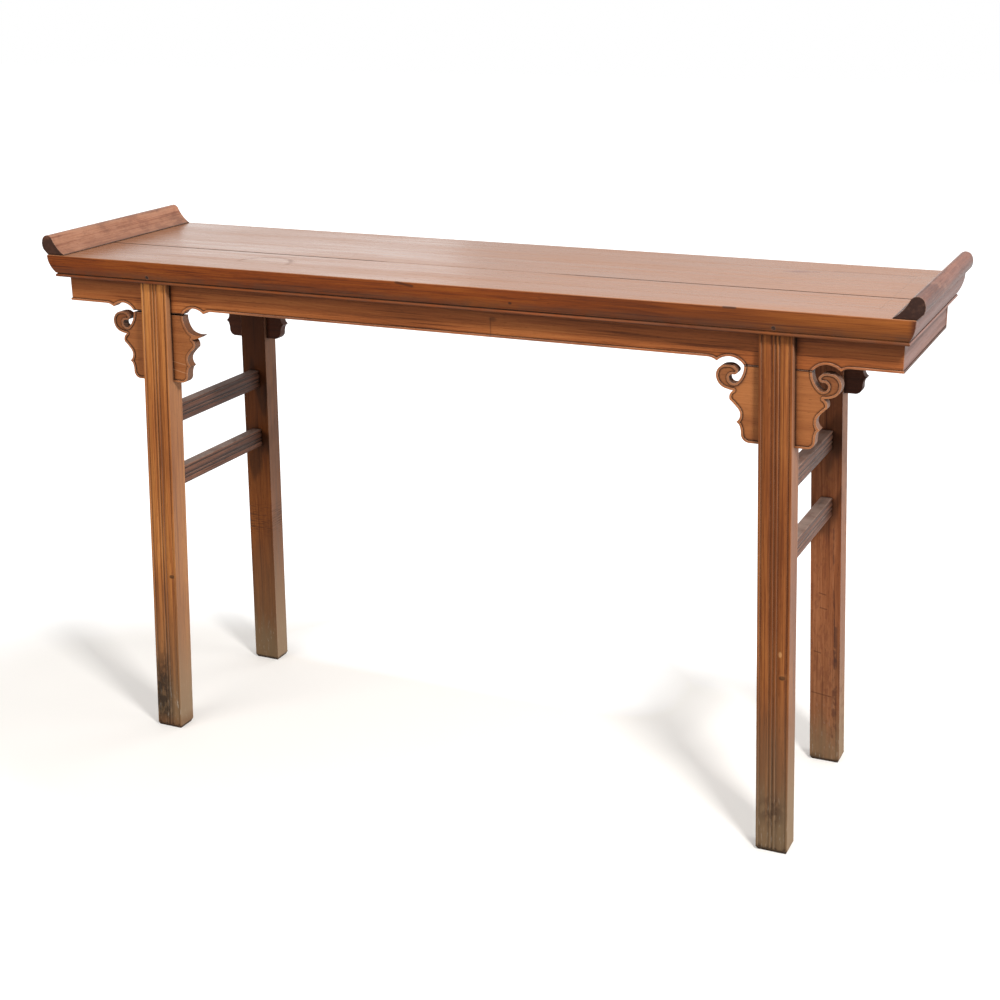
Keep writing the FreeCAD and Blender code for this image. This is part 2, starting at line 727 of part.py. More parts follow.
front_right_spandrel = cut(
    "front_right_spandrel", board("front_right_spandrel_blank", front_right), front_field)
front_left_spandrel = cut(
    "front_left_spandrel", board("front_left_spandrel_blank", front_left), front_field)
back_right_pattern = board("back_right_spandrel_pattern", back_right)
back_left_pattern = board("back_left_spandrel_pattern", back_left)

# Braces, dovetailed into the boards and tenoned into the long rails

BRACE_PLACE_SHARES = {"inner_brace": 0.1, "outer_brace": 0.3}


def brace_section():
    """Section of a brace about its own centre line, with the dovetail ridge on top."""
    half = size("brace_width") / 2
    under = size("brace_under")
    shoulder = size("board_under")
    foot = size("dovetail_foot") / 2
    head = size("dovetail_head") / 2
    crest = shoulder + size("dovetail_height")
    corners = [(half, shoulder), (foot, shoulder), (head, crest)]
    right = [(half, under)] + [(None, corner) for corner in corners]
    left = placed(right, lambda point: (-point[0], point[1]))
    return joined(right, walked_back(left))


def brace(name, share):
    """A brace on the right, this share of the bay from the middle, and the bar of its tenons."""
    centre = f"Sizes.bay_length * {share}"
    blank = extrusion(
        name + "_blank", "XZ_Plane", brace_section(), "Sizes.bay_depth",
        offset={"x": centre}, symmetric=True)
    tenon = box(
        name + "_tenon",
        (f"{centre} - Sizes.brace_tenon_width / 2",
         "-Sizes.bay_depth / 2 - Sizes.brace_tenon_reach",
         "Sizes.brace_under"),
        ("Sizes.brace_tenon_width", "Sizes.bay_depth + 2 * Sizes.brace_tenon_reach",
         "Sizes.brace_tenon_height"))
    return fuse("right_" + name, blank, tenon), tenon


braces = []
brace_tenons = []
for name, share in BRACE_PLACE_SHARES.items():
    whole, tenon = brace(name, share)
    other = mirror("left_" + name, whole, ACROSS)
    nodes["right_" + name] = whole
    nodes["left_" + name] = other
    braces += [whole, other]
    brace_tenons += [tenon, mirror("left_" + name + "_tenon", tenon, ACROSS)]

# Top boards, tongued all round and free to move in the frame

def top_board(label, near, far, near_tongue, far_tongue):
    """A board between two Y places, with its tongue from near_tongue to far_tongue."""
    field = box(
        label + "_field",
        ("Sizes.panel_play - Sizes.bay_length / 2", near, "Sizes.board_under"),
        ("Sizes.bay_length - 2 * Sizes.panel_play", f"{far} - ({near})", "Sizes.panel_thick"))
    tongue = box(
        label + "_tongue",
        ("-Sizes.bay_length / 2 - Sizes.tongue_reach", near_tongue,
         "Sizes.tongue_top - Sizes.tongue_thick"),
        ("Sizes.bay_length + 2 * Sizes.tongue_reach", f"{far_tongue} - ({near_tongue})",
         "Sizes.tongue_thick"))
    return cut(label, fuse(label + "_tongued", field, tongue), *braces)


front_seam = "Sizes.seam_place - Sizes.board_gap / 2"
back_seam = "Sizes.seam_place + Sizes.board_gap / 2"
nodes["front_top_board"] = top_board(
    "front_top_board", "Sizes.panel_play - Sizes.bay_depth / 2", front_seam,
    "-Sizes.bay_depth / 2 - Sizes.tongue_reach", front_seam)
nodes["back_top_board"] = top_board(
    "back_top_board", back_seam, "Sizes.bay_depth / 2 - Sizes.panel_play",
    back_seam, "Sizes.bay_depth / 2 + Sizes.tongue_reach")

# Flanges, keyed to the end rails

FLANGE_SHARES = [
    (0, 0),
    (None, (0, 0.03)),
    ((0.332, 0.427), (0.52, 0.851)),
    ((0.732, 1), (0.938, 0.845)),
    ((1, 0.542), (0.952, 0.254)),
]


def flange_section():
    """Section of the right flange, from its toe over the roll to the end arris."""
    toe = size("half_length") - size("flange_foot")
    across = size("flange_foot") + size("flange_overhang")
    top = size("table_height")
    rise = size("flange_height")
    path = placed(FLANGE_SHARES, lambda share: (toe + across * share[0], top + rise * share[1]))
    return path + [(None, (size("half_length"), top))]


flange_blank = extrusion(
    "flange_blank", "XZ_Plane", flange_section(),
    "Sizes.frame_depth - 2 * Sizes.flange_setback", symmetric=True)
flange_keys = [
    box(f"flange_key_{spot}",
        ("Sizes.half_length - Sizes.flange_key_inset - Sizes.flange_key_thick",
         f"Sizes.flange_key_pitch * {steps} - Sizes.flange_key_length / 2",
         "Sizes.table_height - Sizes.flange_key_depth"),
        ("Sizes.flange_key_thick", "Sizes.flange_key_length", "Sizes.flange_key_depth"))
    for spot, steps in (("front", "-1"), ("middle", "0"), ("back", "1"))]
right_flange = fuse("right_flange", flange_blank, *flange_keys)

# Frame rails with every mortise and groove that the other pieces need

left_peg_rod = mirror("left_peg_rod", peg_rod, ACROSS)
leg_tenons = [outer_tenon, inner_tenon]
left_leg_tenons = [mirror("left_" + tenon.Label, tenon, ACROSS) for tenon in leg_tenons]
front_rail = cut(
    "front_rail", long_rail_mitred, mitre_tenon, mitre_tenon_left, apron_tongue, peg_rod,
    left_peg_rod, *leg_tenons, *left_leg_tenons, *brace_tenons)
right_end_rail = cut(
    "right_end_rail",
    fuse("end_rail_tenoned", end_rail_mitred, mitre_tenon, mitre_tenon_behind),
    end_apron_tongue, *flange_keys)

# Every piece, by its node's name

nodes["front_rail"] = front_rail
nodes["back_rail"] = mirror("back_rail", front_rail, BEHIND)
nodes["front_apron"] = front_apron
nodes["back_apron"] = mirror("back_apron", apron_tongued, BEHIND)
nodes["front_right_leg"] = right_leg
nodes["front_left_leg"] = mirror("front_left_leg", sunk_leg, ACROSS)
nodes["back_right_leg"] = mirror("back_right_leg", back_leg, BEHIND)
nodes["back_left_leg"] = mirror("back_left_leg", nodes["back_right_leg"], ACROSS)
nodes["front_right_spandrel"] = front_right_spandrel
nodes["front_left_spandrel"] = front_left_spandrel
nodes["back_right_spandrel"] = mirror("back_right_spandrel", back_right_pattern, BEHIND)
nodes["back_left_spandrel"] = mirror("back_left_spandrel", back_left_pattern, BEHIND)
right_pieces = {
    "end_rail": right_end_rail,
    "end_apron": right_end_apron,
    "flange": right_flange,
    "upper_stretcher": upper_stretcher,
    "lower_stretcher": lower_stretcher,
}
for name, piece in right_pieces.items():
    nodes["right_" + name] = piece
    nodes["left_" + name] = mirror("left_" + name, piece, ACROSS)

left_peg = mirror("front_left_peg", peg, ACROSS)
leg_pegs = doc.addObject("Part::Compound", "leg_pegs")
leg_pegs.Links = [
    peg, left_peg, mirror("back_right_peg", peg, BEHIND), mirror("back_left_peg", left_peg, BEHIND)]
nodes["leg_pegs"] = leg_pegs

doc.recompute()

for item in doc.Objects:
    if "Invalid" in item.State or "Error" in item.State:
        raise RuntimeError(f"{item.Label} did not compute: {item.State}")
for name, item in nodes.items():
    shape = item.Shape
    if shape.isNull() or not shape.isValid() or not shape.Solids:
        raise RuntimeError(f"{name} has no sound solid")
for name, item in sorted(nodes.items()):
    solids = item.Shape.Solids
    piece = solids[0] if len(solids) == 1 else Part.Compound(solids)
    piece.exportStep(f"parts/{name}.step")
    print(f"{name}: {len(solids)} solid, {piece.Volume / 1000:.1f} cm3")
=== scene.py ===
"""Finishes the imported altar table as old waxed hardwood, and sets up its floor, light and camera."""
import math
import bpy
from mathutils import Matrix, Vector


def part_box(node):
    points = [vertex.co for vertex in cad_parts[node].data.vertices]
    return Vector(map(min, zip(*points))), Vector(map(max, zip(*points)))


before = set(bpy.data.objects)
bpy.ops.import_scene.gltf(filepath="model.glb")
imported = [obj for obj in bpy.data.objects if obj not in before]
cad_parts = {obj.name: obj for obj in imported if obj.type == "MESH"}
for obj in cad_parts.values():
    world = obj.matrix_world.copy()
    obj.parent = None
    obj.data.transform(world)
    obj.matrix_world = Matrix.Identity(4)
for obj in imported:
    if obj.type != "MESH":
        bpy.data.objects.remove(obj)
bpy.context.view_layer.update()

MM = 0.001


def begins(node, axis):
    """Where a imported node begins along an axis, in metres, to a hundredth of a millimetre."""
    return round(getattr(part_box(node)[0], axis), 5)


def ends(node, axis):
    """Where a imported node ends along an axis, in metres, to a hundredth of a millimetre."""
    return round(getattr(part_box(node)[1], axis), 5)


# The places of the table that marks are measured from, in metres.
TOP_LEVEL = ends("front_top_board", "z")
SEAM = (ends("front_top_board", "y") + begins("back_top_board", "y")) / 2
RAIL_FOOT = begins("front_rail", "z")
RAIL_END = ends("front_rail", "x")
APRON_FOOT = begins("front_apron", "z")
APRON_FACE = -begins("front_apron", "y")
END_APRON_FOOT = begins("right_end_apron", "z")

# Where a leg's foot stands from the middle, and how far the leg leans in for each metre of height.
FOOT_X = 559.6 * MM
FOOT_FACE = 182.9 * MM
LEAN_LENGTH = 28.6 * MM / RAIL_FOOT
LEAN_DEPTH = 16.7 * MM / RAIL_FOOT

# A year's growth, and how far a seed moves a board through the noise.
YEAR = 2.4 * MM
SEED_STEPS = (3.7, 1.3, 2.1)

# The two planks that the top was sawn from.
FRONT_PLANK = {"seed": 5.0, "pith": (0.1, -0.78)}
BACK_PLANK = {"seed": 6.0, "pith": (-0.05, -0.79)}


def tint(red, green, blue):
    """A colour written as it looks on a screen, 0 to 255, as the shader's linear numbers."""
    def linear(value):
        value /= 255
        return value / 12.92 if value <= 0.04045 else ((value + 0.055) / 1.055) ** 2.4
    return (linear(red), linear(green), linear(blue), 1)


def seed_shift(seed):
    """How far a board with this seed stands from the others in the noise."""
    return tuple(seed * step for step in SEED_STEPS)


class Graph:
    """One node tree, with short words for the nodes that a material is made of."""

    # The numbers of a Mix node's two inputs and its output, by what it mixes.
    MIX_SOCKETS = {"RGBA": (6, 7, 2), "VECTOR": (4, 5, 1)}

    def __init__(self, tree):
        self.tree = tree
        tree.nodes.clear()

    def add(self, kind, settings=None, **sockets):
        node = self.tree.nodes.new("ShaderNode" + kind)
        for name, value in (settings or {}).items():
            setattr(node, name, value)
        for name, value in sockets.items():
            self.plug(node.inputs[name.replace("_", " ")], value)
        return node

    def plug(self, socket, value):
        if isinstance(value, bpy.types.NodeSocket):
            self.tree.links.new(value, socket)
        else:
            socket.default_value = value

    def math(self, operation, *values, clamp=False):
        node = self.add("Math", {"operation": operation, "use_clamp": clamp})
        for socket, value in zip(node.inputs, values):
            self.plug(socket, value)
        return node.outputs[0]

    def vector_math(self, operation, *values):
        node = self.add("VectorMath", {"operation": operation})
        for socket, value in zip(node.inputs, values):
            self.plug(socket, value)
        return node.outputs["Value" if operation in ("LENGTH", "DOT_PRODUCT", "DISTANCE") else "Vector"]

    def swing(self, value, amount, base):
        """The base moved up and down by a noise that lies about a half."""
        return self.math("MULTIPLY_ADD", self.math("SUBTRACT", value, 0.5), amount, base)

    def split(self, vector):
        return self.add("SeparateXYZ", Vector=vector).outputs

    def join(self, x, y, z):
        node = self.add("CombineXYZ")
        for socket, value in zip(node.inputs, (x, y, z)):
            self.plug(socket, value)
        return node.outputs[0]

    def stretch(self, vector, scale, shift=(0, 0, 0)):
        return self.add("Mapping", Vector=vector, Scale=scale, Location=shift).outputs[0]

    def noise(self, vector, detail=2.0, roughness=0.5):
        node = self.add("TexNoise", Vector=vector, Scale=1.0, Detail=detail, Roughness=roughness)
        return node.outputs["Fac"]

    def ramp(self, value, stops):
        """Turns a value into a colour or a grey, by stops of a place and what is there."""
        node = self.add("ValToRGB", Fac=value)
        elements = node.color_ramp.elements
        while len(elements) < len(stops):
            elements.new(0.5)
        for element, (place, colour) in zip(elements, stops):
            element.position = place
            element.color = colour if isinstance(colour, tuple) else (colour, colour, colour, 1)
        return node.outputs["Color"]

    def span(self, value, low, high, start=0.0, end=1.0):
        """Turns low to high into start to end, softly, and holds the ends."""
        node = self.add("MapRange", {"clamp": True, "interpolation_type": "SMOOTHSTEP"})
        for name, number in (("Value", value), ("From Min", low), ("From Max", high),
                             ("To Min", start), ("To Max", end)):
            self.plug(node.inputs[name], number)
        return node.outputs["Result"]

    def blend(self, kind, share, first, second):
        """What lies by a share of the way from the first to the second."""
        node = self.add("Mix", {"data_type": kind})
        first_input, second_input, result = self.MIX_SOCKETS[kind]
        for index, value in ((0, share), (first_input, first), (second_input, second)):
            self.plug(node.inputs[index], value)
        return node.outputs[result]

    def mix(self, share, first, second):
        """The way from one colour to another."""
        return self.blend("RGBA", share, first, second)

    def between(self, share, first, second):
        """The way from one place to another."""
        return self.blend("VECTOR", share, first, second)

    def both(self, *masks):
        """The masks multiplied together."""
        whole = masks[0]
        for mask in masks[1:]:
            whole = self.math("MULTIPLY", whole, mask)
        return whole

    def either(self, *masks):
        """The strongest of the masks."""
        whole = masks[0]
        for mask in masks[1:]:
            whole = self.math("MAXIMUM", whole, mask)
        return whole

    def near(self, value, target, width, soft=0.5):
        """1 where the value is at the target, fading out at a width in millimetres from it."""
        gap = self.math("ABSOLUTE", self.math("SUBTRACT", value, target))
        return self.span(gap, width * MM, width * MM * soft)

    def oval(self, place, centre, radii, soft=0.5):
        """1 inside an oval patch, by a centre and radii in millimetres, fading out from its soft share."""
        offset = self.vector_math("SUBTRACT", place, tuple(value * MM for value in centre))
        scale = tuple(1 / (radius * MM) for radius in radii)
        gap = self.vector_math("LENGTH", self.stretch(offset, scale))
        return self.span(gap, 1.0, soft)

    def line(self, place, start, end, width, soft=0.35):
        """1 along a line between two points, fading out over its width, all in millimetres."""
        start = Vector(start) * MM
        run = Vector(end) * MM - start
        offset = self.vector_math("SUBTRACT", place, tuple(start))
        share = self.vector_math("DOT_PRODUCT", offset, tuple(run / run.length_squared))
        share = self.math("MAXIMUM", self.math("MINIMUM", share, 1.0), 0.0)
        along = self.vector_math("MULTIPLY", self.join(share, share, share), tuple(run))
        gap = self.vector_math("LENGTH", self.vector_math("SUBTRACT", offset, along))
        return self.span(gap, width * MM, width * MM * soft)


class Board:
    """One board while its wood is made: its node tree, its masks, and the look that marks change."""

    def __init__(self, graph):
        self.graph = graph
        self.place = graph.add("TexCoord").outputs["Object"]
        self.x, self.y, self.z = graph.split(self.place)
        self.normal = graph.add("NewGeometry").outputs["Normal"]
        self.height = 0.0
        self.calm = 1.0

    def paint(self, mask, colour, amount):
        """Covers the mask with a colour, by an amount from 0 to 1."""
        share = self.graph.math("MULTIPLY", mask, amount)
        self.colour = self.graph.mix(share, self.colour, tint(*colour))

    def roughen(self, mask, amount):
        """Makes the mask duller, or glossier by an amount under 0."""
        self.rough = self.graph.math("MULTIPLY_ADD", mask, amount, self.rough)

    def shades(self, palette):
        """The board's tone as a colour, by a palette's dark, middle and light."""
        dark, middle, light = (tint(*colour) for colour in palette)
        return self.graph.ramp(self.tone, ((0.05, dark), (0.5, middle), (0.95, light)))

    def grained(self, along, across, shift=(0, 0, 0), **kind):
        """Noise with so many waves to the metre along and across the fibres."""
        return self.graph.noise(self.graph.stretch(self.fibre, (along, across, across), shift), **kind)

    def mottled(self, scale, shift=(0, 0, 0), **kind):
        """Noise with so many waves to the metre along each of the table's axes."""
        return self.graph.noise(self.graph.stretch(self.place, scale, shift), **kind)

    def uneven(self, least, noise=None, low=0.3, high=0.6):
        """A strength from the least to 1 that follows a noise, or else the rub marks."""
        return self.graph.span(self.rub if noise is None else noise, low, high, least, 1.0)

    def facing(self, axis, low, high, least=0.0, both_ways=False):
        """Where the surface's normal points along an axis, or also against it."""
        part = self.graph.split(self.normal)["XYZ".index(axis)]
        if both_ways:
            part = self.graph.math("ABSOLUTE", part)
        return self.graph.span(part, low, high, least, 1.0)

    def shaken(self, sway):
        """The place, moved by the rub marks, by so many millimetres along each axis."""
        rub = self.graph.join(self.rub, self.rub, self.rub)
        moved = self.graph.stretch(rub, tuple(value * MM for value in sway))
        return self.graph.vector_math("ADD", self.place, moved)


def lay_grain(board, grain, seed, lean, pith):
    """Measures the board along and across its fibres, from its pith, and moved by its seed."""
    graph = board.graph
    x, y, z = board.x, board.y, board.z
    along, first, second = {"X": (x, y, z), "Y": (y, x, z), "Z": (z, x, y)}[grain]
    if lean != (0, 0):
        first = graph.math("MULTIPLY_ADD", along, -lean[0], first)
        second = graph.math("MULTIPLY_ADD", along, -lean[1], second)
    own = graph.join(along, first, second)
    board.heart = graph.vector_math("ADD", own, (0.0, *pith))
    board.fibre = graph.vector_math("ADD", own, seed_shift(seed))
    board.level_top = graph.span(z, TOP_LEVEL - 1.1 * MM, TOP_LEVEL - 0.4 * MM)


def share_planks(board):
    """The frame was sawn from the boards' own planks, so its upper face goes on with their grain."""
    graph = board.graph
    behind = graph.span(board.y, SEAM - 0.1 * MM, SEAM + 0.1 * MM)
    hearts = [(0.0, *plank["pith"]) for plank in (FRONT_PLANK, BACK_PLANK)]
    heart = graph.vector_math("ADD", board.place, graph.between(behind, *hearts))
    board.heart = graph.between(board.level_top, board.heart, heart)
    shifts = [seed_shift(plank["seed"]) for plank in (FRONT_PLANK, BACK_PLANK)]
    fibre = graph.vector_math("ADD", board.place, graph.between(behind, *shifts))
    board.fibre = graph.between(board.level_top, board.fibre, fibre)
    board.calm = graph.math("MULTIPLY_ADD", board.level_top, -0.62, 1.0)


def grow_rings(board, seed):
    """Growth rings, bent by slow and quick drifts, with pale early wood and a dark late line."""
    graph = board.graph
    bend = board.grained(along=1.3, across=5)
    waver = board.grained(along=8, across=34)
    drift = graph.math("MULTIPLY_ADD", waver, 7 * MM, graph.math("MULTIPLY", bend, 60 * MM))
    heart = graph.split(board.heart)
    first = graph.math("ADD", heart[1], drift)
    second = graph.math("MULTIPLY_ADD", drift, 0.7, heart[2])
    centred = graph.join(0.0, first, second)
    years = graph.math("DIVIDE", graph.vector_math("LENGTH", centred), YEAR)
    hurry = graph.noise(graph.join(seed * 1.7, graph.math("MULTIPLY", years, 0.35), 0.0))
    years = graph.math("MULTIPLY_ADD", hurry, 3.0, years)
    board.season = graph.math("FRACT", years)
    late = graph.ramp(board.season, ((0.0, 0.0), (0.5, 0.3), (0.84, 1.0), (0.95, 0.85), (1.0, 0.0)))
    along = graph.math("MULTIPLY", graph.split(board.fibre)[0], 1.5)
    strong = graph.noise(graph.join(seed * 2.9, graph.math("MULTIPLY", years, 0.8), along), detail=1.0)
    board.late = graph.math("MULTIPLY", late, graph.span(strong, 0.36, 0.66, 0.1, 1.0))


def draw_fibres(board, figure, streak, thread):
    """The tone, from hairs and fine fibres with dark strands to broad bands and slow patches."""
    graph = board.graph
    hair = board.grained(along=25, across=1300, detail=1.0)
    board.fine = board.grained(along=9, across=520, roughness=0.6)
    strand = board.grained(along=5, across=300, shift=(7.3, 1.9, 4.1), roughness=0.6)
    board.band = board.grained(along=2.2, across=90, detail=3.0, roughness=0.6)
    board.patch = board.grained(along=3.2, across=13, detail=3.0, roughness=0.55)
    tone = graph.math("MULTIPLY", board.late, -0.3 * figure)
    tone = graph.swing(hair, 0.4 * thread, tone)
    tone = graph.swing(board.fine, 0.7 * thread, tone)
    tone = graph.math("MULTIPLY_ADD", graph.span(strand, 0.52, 0.7), -0.45 * thread, tone)
    tone = graph.swing(board.band, 1.1 * streak, tone)
    tone = graph.swing(board.patch, 1.0, tone)
    board.tone = graph.math("MULTIPLY_ADD", tone, board.calm, 0.58)


def find_wear_and_shade(board, grain, arris):
    """Masks of the pores and sawn ends, of soft rubbed edges that also carry a painted highlight, and of
    corners that the air can't reach, which are painted dirty and shaded.
    """
    graph = board.graph
    dash = board.grained(along=85, across=1500, detail=1.0)
    board.pore = graph.both(graph.span(dash, 0.58, 0.68), graph.span(board.season, 0.0, 0.5, 1.0, 0.3))
    board.end_face = board.facing(grain, 0.75, 0.93, both_ways=True)
    board.soft = graph.add("Bevel", {"samples": 4}, Radius=arris * MM).outputs[0]
    flat = graph.vector_math("DOT_PRODUCT", board.soft, board.normal)
    air = graph.add("AmbientOcclusion", {"samples": 6}, Distance=14 * MM).outputs["AO"]
    board.close = graph.add("AmbientOcclusion", {"samples": 4}, Distance=3.5 * MM).outputs["AO"]
    board.rub = board.mottled((42, 42, 42), detail=3.0)
    turned_away = graph.span(flat, 0.997, 0.88)
    in_reach = graph.span(board.close, 0.75, 0.98)
    board.edge = graph.both(turned_away, in_reach, board.uneven(0.4))
    # Corners out of the air's reach and tight creases, which are painted darker: partly soiling, partly
    # painted shade.
    hidden = graph.both(graph.span(air, 0.8, 0.2), board.uneven(0.6, low=0.25))
    crevice = graph.math("MULTIPLY", graph.span(board.close, 0.88, 0.5), 0.9)
    board.dirt = graph.either(hidden, crevice)


def waxed_surface(board, sheen):
    """The colour with a roughness and a relief that follow the fibres, pores and rub marks."""
    graph = board.graph
    rough = graph.math("MULTIPLY_ADD", board.pore, 0.2, graph.swing(board.patch, 0.25, board.rough))
    height = graph.math("MULTIPLY_ADD", board.fine, 0.5, graph.math("MULTIPLY", board.late, -0.3))
    height = graph.math("MULTIPLY_ADD", board.pore, -0.8, height)
    height = graph.math("ADD", graph.math("MULTIPLY", board.rub, 0.6), height)
    calm = graph.math("MULTIPLY_ADD", board.calm, 1.54, -0.54)
    height = graph.math("MULTIPLY_ADD", height, calm, board.height)
    relief = graph.add("Bump", Strength=0.4, Distance=0.25 * MM, Height=height, Normal=board.soft).outputs[0]
    surface = graph.add("BsdfPrincipled", Base_Color=board.colour, Roughness=rough, Normal=relief)
    surface.inputs["Specular IOR Level"].default_value = sheen
    graph.tree.links.new(surface.outputs[0], graph.add("OutputMaterial").inputs["Surface"])


# The colours of the pores and of the wear that every board has, with the painted shade in its corners and the
# painted highlight on its edges.
PORE = (46, 24, 12)
SAWN_END = (52, 30, 18)
RUBBED_AND_HIGHLIT_ARRIS = (214, 170, 142)
CORNER_DIRT_AND_SHADE = (32, 18, 10)


def wood(name, palette, grain, seed, lean=(0, 0), pith=(0.07, 0.11), figure=0.5, streak=1.0, thread=1.0,
         wax=0.5, sheen=0.4, worn=0.5, arris=1.1, grime_and_shade=0.85, cut_end=0.5, upper=None, marks=()):
    """Solid wood in the table's own metres: growth rings round a pith, fibres, pores, dirty corners with
    painted shade, and rubbed edges with a painted highlight.

    palette holds the dark, middle and light colours, and upper those of the polished face on top.
    grain is the axis that the fibres follow, lean how far they drift across for each metre along, and
    pith how far across the grain the tree's heart lies, in metres. figure, streak and thread are the
    strength of the rings, the bands and the fibres. wax is the roughness of the finish and sheen its
    shine. worn is how far edges are rubbed pale, which also paints a highlight on them,
    grime_and_shade how far corners are painted dirty and shaded, and cut_end how dark sawn ends are.
    arris is the roundness of a rubbed edge in millimetres. marks adds what one board alone has.
    """
    material = bpy.data.materials.new(name)
    material.use_nodes = True
    board = Board(Graph(material.node_tree))
    lay_grain(board, grain, seed, lean, pith)
    if upper:
        share_planks(board)
    grow_rings(board, seed)
    draw_fibres(board, figure, streak, thread)
    board.colour = board.shades(palette)
    if upper:
        board.colour = board.graph.mix(board.level_top, board.colour, board.shades(upper))
    find_wear_and_shade(board, grain, arris)
    board.rough = board.graph.swing(board.band, 0.3, wax)
    board.paint(board.graph.math("MULTIPLY", board.pore, board.calm), PORE, 0.5)
    board.paint(board.end_face, SAWN_END, cut_end)
    for mark in marks:
        mark(board)
    # Rubbed edges painted pale, which also paints a highlight along them.
    board.paint(board.edge, RUBBED_AND_HIGHLIT_ARRIS, worn)
    # Corners and creases painted darker: partly soiling, partly painted shade.
    board.paint(board.dirt, CORNER_DIRT_AND_SHADE, grime_and_shade)
    waxed_surface(board, sheen)
    return material


# The marks of the top and its frame, and their colours. Places are in millimetres.
SEAM_DIRT = (54, 26, 16)
TOP_CRACK = (104, 62, 44)
KNOT = (122, 60, 42)
KNOT_SPLIT = (108, 52, 36)
KNOT_TAIL = (120, 66, 46)
POT_PALE = (176, 140, 118)
POT_RIM = (112, 74, 54)
MOULDING_DIRT_AND_SHADE = (46, 22, 12)
MOULDING_HIGHLIGHT = (208, 126, 82)
MOULDING_FOOT = (58, 30, 16)
GOLDEN_RAIL = ((76, 30, 8), (116, 58, 16), (152, 86, 32))
RAIL_DUST = (94, 60, 40)
RAIL_CORNER_SHADE = (64, 22, 12)
RAIL_CHIP = (50, 24, 12)
PEG_SPOT = (46, 24, 14)
RAIL_DENT = (64, 40, 30)


def on_top(x, y):
    """A place on the top's upper face."""
    return (x, y, TOP_LEVEL / MM)


def polished_top(board):
    """The boards and the frame round them share one rubbed, satin face."""
    board.roughen(board.level_top, -0.26)


def open_seam(board):
    """The seam between the two planks has opened from both ends, and its rear edge has rounded off."""
    graph = board.graph
    opened = graph.either(graph.span(board.x, -0.13, -0.19), graph.span(board.x, 0.1, 0.2), 0.1)
    opened = graph.both(opened, board.level_top)
    way = graph.math("DIVIDE", graph.math("SUBTRACT", board.y, SEAM - 1.3 * MM), 3 * MM, clamp=True)
    depth = graph.math("MULTIPLY", graph.both(graph.span(way, 0.0, 0.08), opened), 24.0)
    board.height = graph.math("MULTIPLY_ADD", graph.math("SUBTRACT", way, 1.0), depth, board.height)
    seam = graph.both(graph.near(board.y, SEAM + 0.4 * MM, width=2.6, soft=0.6), opened)
    board.paint(seam, SEAM_DIRT, 0.95)
    board.roughen(seam, 0.5)


def top_wear(board):
    """A short crack, a knot, and the pale ring that a wet pot left."""
    graph = board.graph
    shaken = board.shaken((0, 1.2, 0))
    board.paint(graph.line(shaken, on_top(540, 123), on_top(662, 123), width=3), TOP_CRACK, 0.55)
    board.paint(graph.oval(board.place, on_top(491, 102), radii=(24, 17, 20), soft=0.1), KNOT, 0.5)
    board.paint(graph.line(shaken, on_top(470, 96), on_top(520, 108), width=5), KNOT_SPLIT, 0.4)
    board.paint(graph.line(shaken, on_top(500, 112), on_top(560, 116), width=3), KNOT_TAIL, 0.35)
    pot = tuple(value * MM for value in on_top(-342, -121))
    ring = graph.vector_math("DISTANCE", board.place, pot)
    board.paint(graph.span(ring, 50 * MM, 36 * MM), POT_PALE, 0.35)
    rim = graph.both(graph.near(ring, 46 * MM, width=6, soft=0.15), board.uneven(0.3))
    board.paint(rim, POT_RIM, 0.5)
    board.roughen(rim, 0.1)


def moulded_edge(board):
    """Dirt and painted shade in the groove of the frame's moulding, and a painted highlight along its bead.
    """
    graph = board.graph
    # Dirt and painted shade in the groove.
    board.paint(graph.near(board.z, RAIL_FOOT + 5.9 * MM, width=1.5), MOULDING_DIRT_AND_SHADE, 0.85)
    # Painted highlight along the bead, stronger towards the right.
    bead = graph.near(board.z, RAIL_FOOT + 3.2 * MM, width=1.8, soft=0.4)
    rightwards = graph.span(board.x, -0.2, 0.55, 0.25, 1.0)
    board.paint(graph.both(bead, board.uneven(0.5), rightwards), MOULDING_HIGHLIGHT, 0.48)
    board.paint(graph.near(board.z, RAIL_FOOT - 0.2 * MM, width=1.2), MOULDING_FOOT, 0.7)


def front_edge(board):
    """The front rail is golden towards the right, dusty along its foot, painted darker near its right corner
    as shade, and chipped here and there.
    """
    graph = board.graph
    face = graph.math("SUBTRACT", 1.0, board.level_top)
    golden = graph.both(face, graph.span(board.x, 0.1, 0.62))
    board.colour = graph.mix(golden, board.colour, board.shades(GOLDEN_RAIL))
    low = graph.span(board.z, RAIL_FOOT + 23 * MM, RAIL_FOOT + 10 * MM)
    board.paint(graph.both(low, board.uneven(0.3, high=0.65)), RAIL_DUST, 0.5)
    # Painted shade near the right corner of the face.
    corner = graph.span(board.x, RAIL_END - 12 * MM, RAIL_END - 1.5 * MM)
    board.paint(graph.both(face, corner), RAIL_CORNER_SHADE, 0.8)
    board.paint(graph.line(board.place, (-62, -186, 848.5), (-34, -186, 844.5), width=3), RAIL_CHIP, 0.7)
    board.paint(graph.oval(board.place, (128, -182, 829.4), radii=(4, 6, 3)), PEG_SPOT, 0.8)
    board.paint(graph.line(board.place, (460, -186, 849.5), (476, -186, 849.5), width=3.2), RAIL_DENT, 0.8)


# The marks of the aprons and spandrels, and their colours.
SHADE_UNDER_FRAME = (90, 46, 24)
APRON_CRACK = (54, 28, 16)
CRACK_STAIN = (66, 38, 22)
JOINT_SHADOW = (44, 22, 12)
BEAD_HIGHLIGHT = (196, 142, 108)
BEAD_DIRT_AND_SHADE = (58, 28, 14)
SAWN_GREY = (114, 88, 74)
CURL_SHADE_BROWN = (88, 48, 30)
SCRATCH = (206, 156, 116)


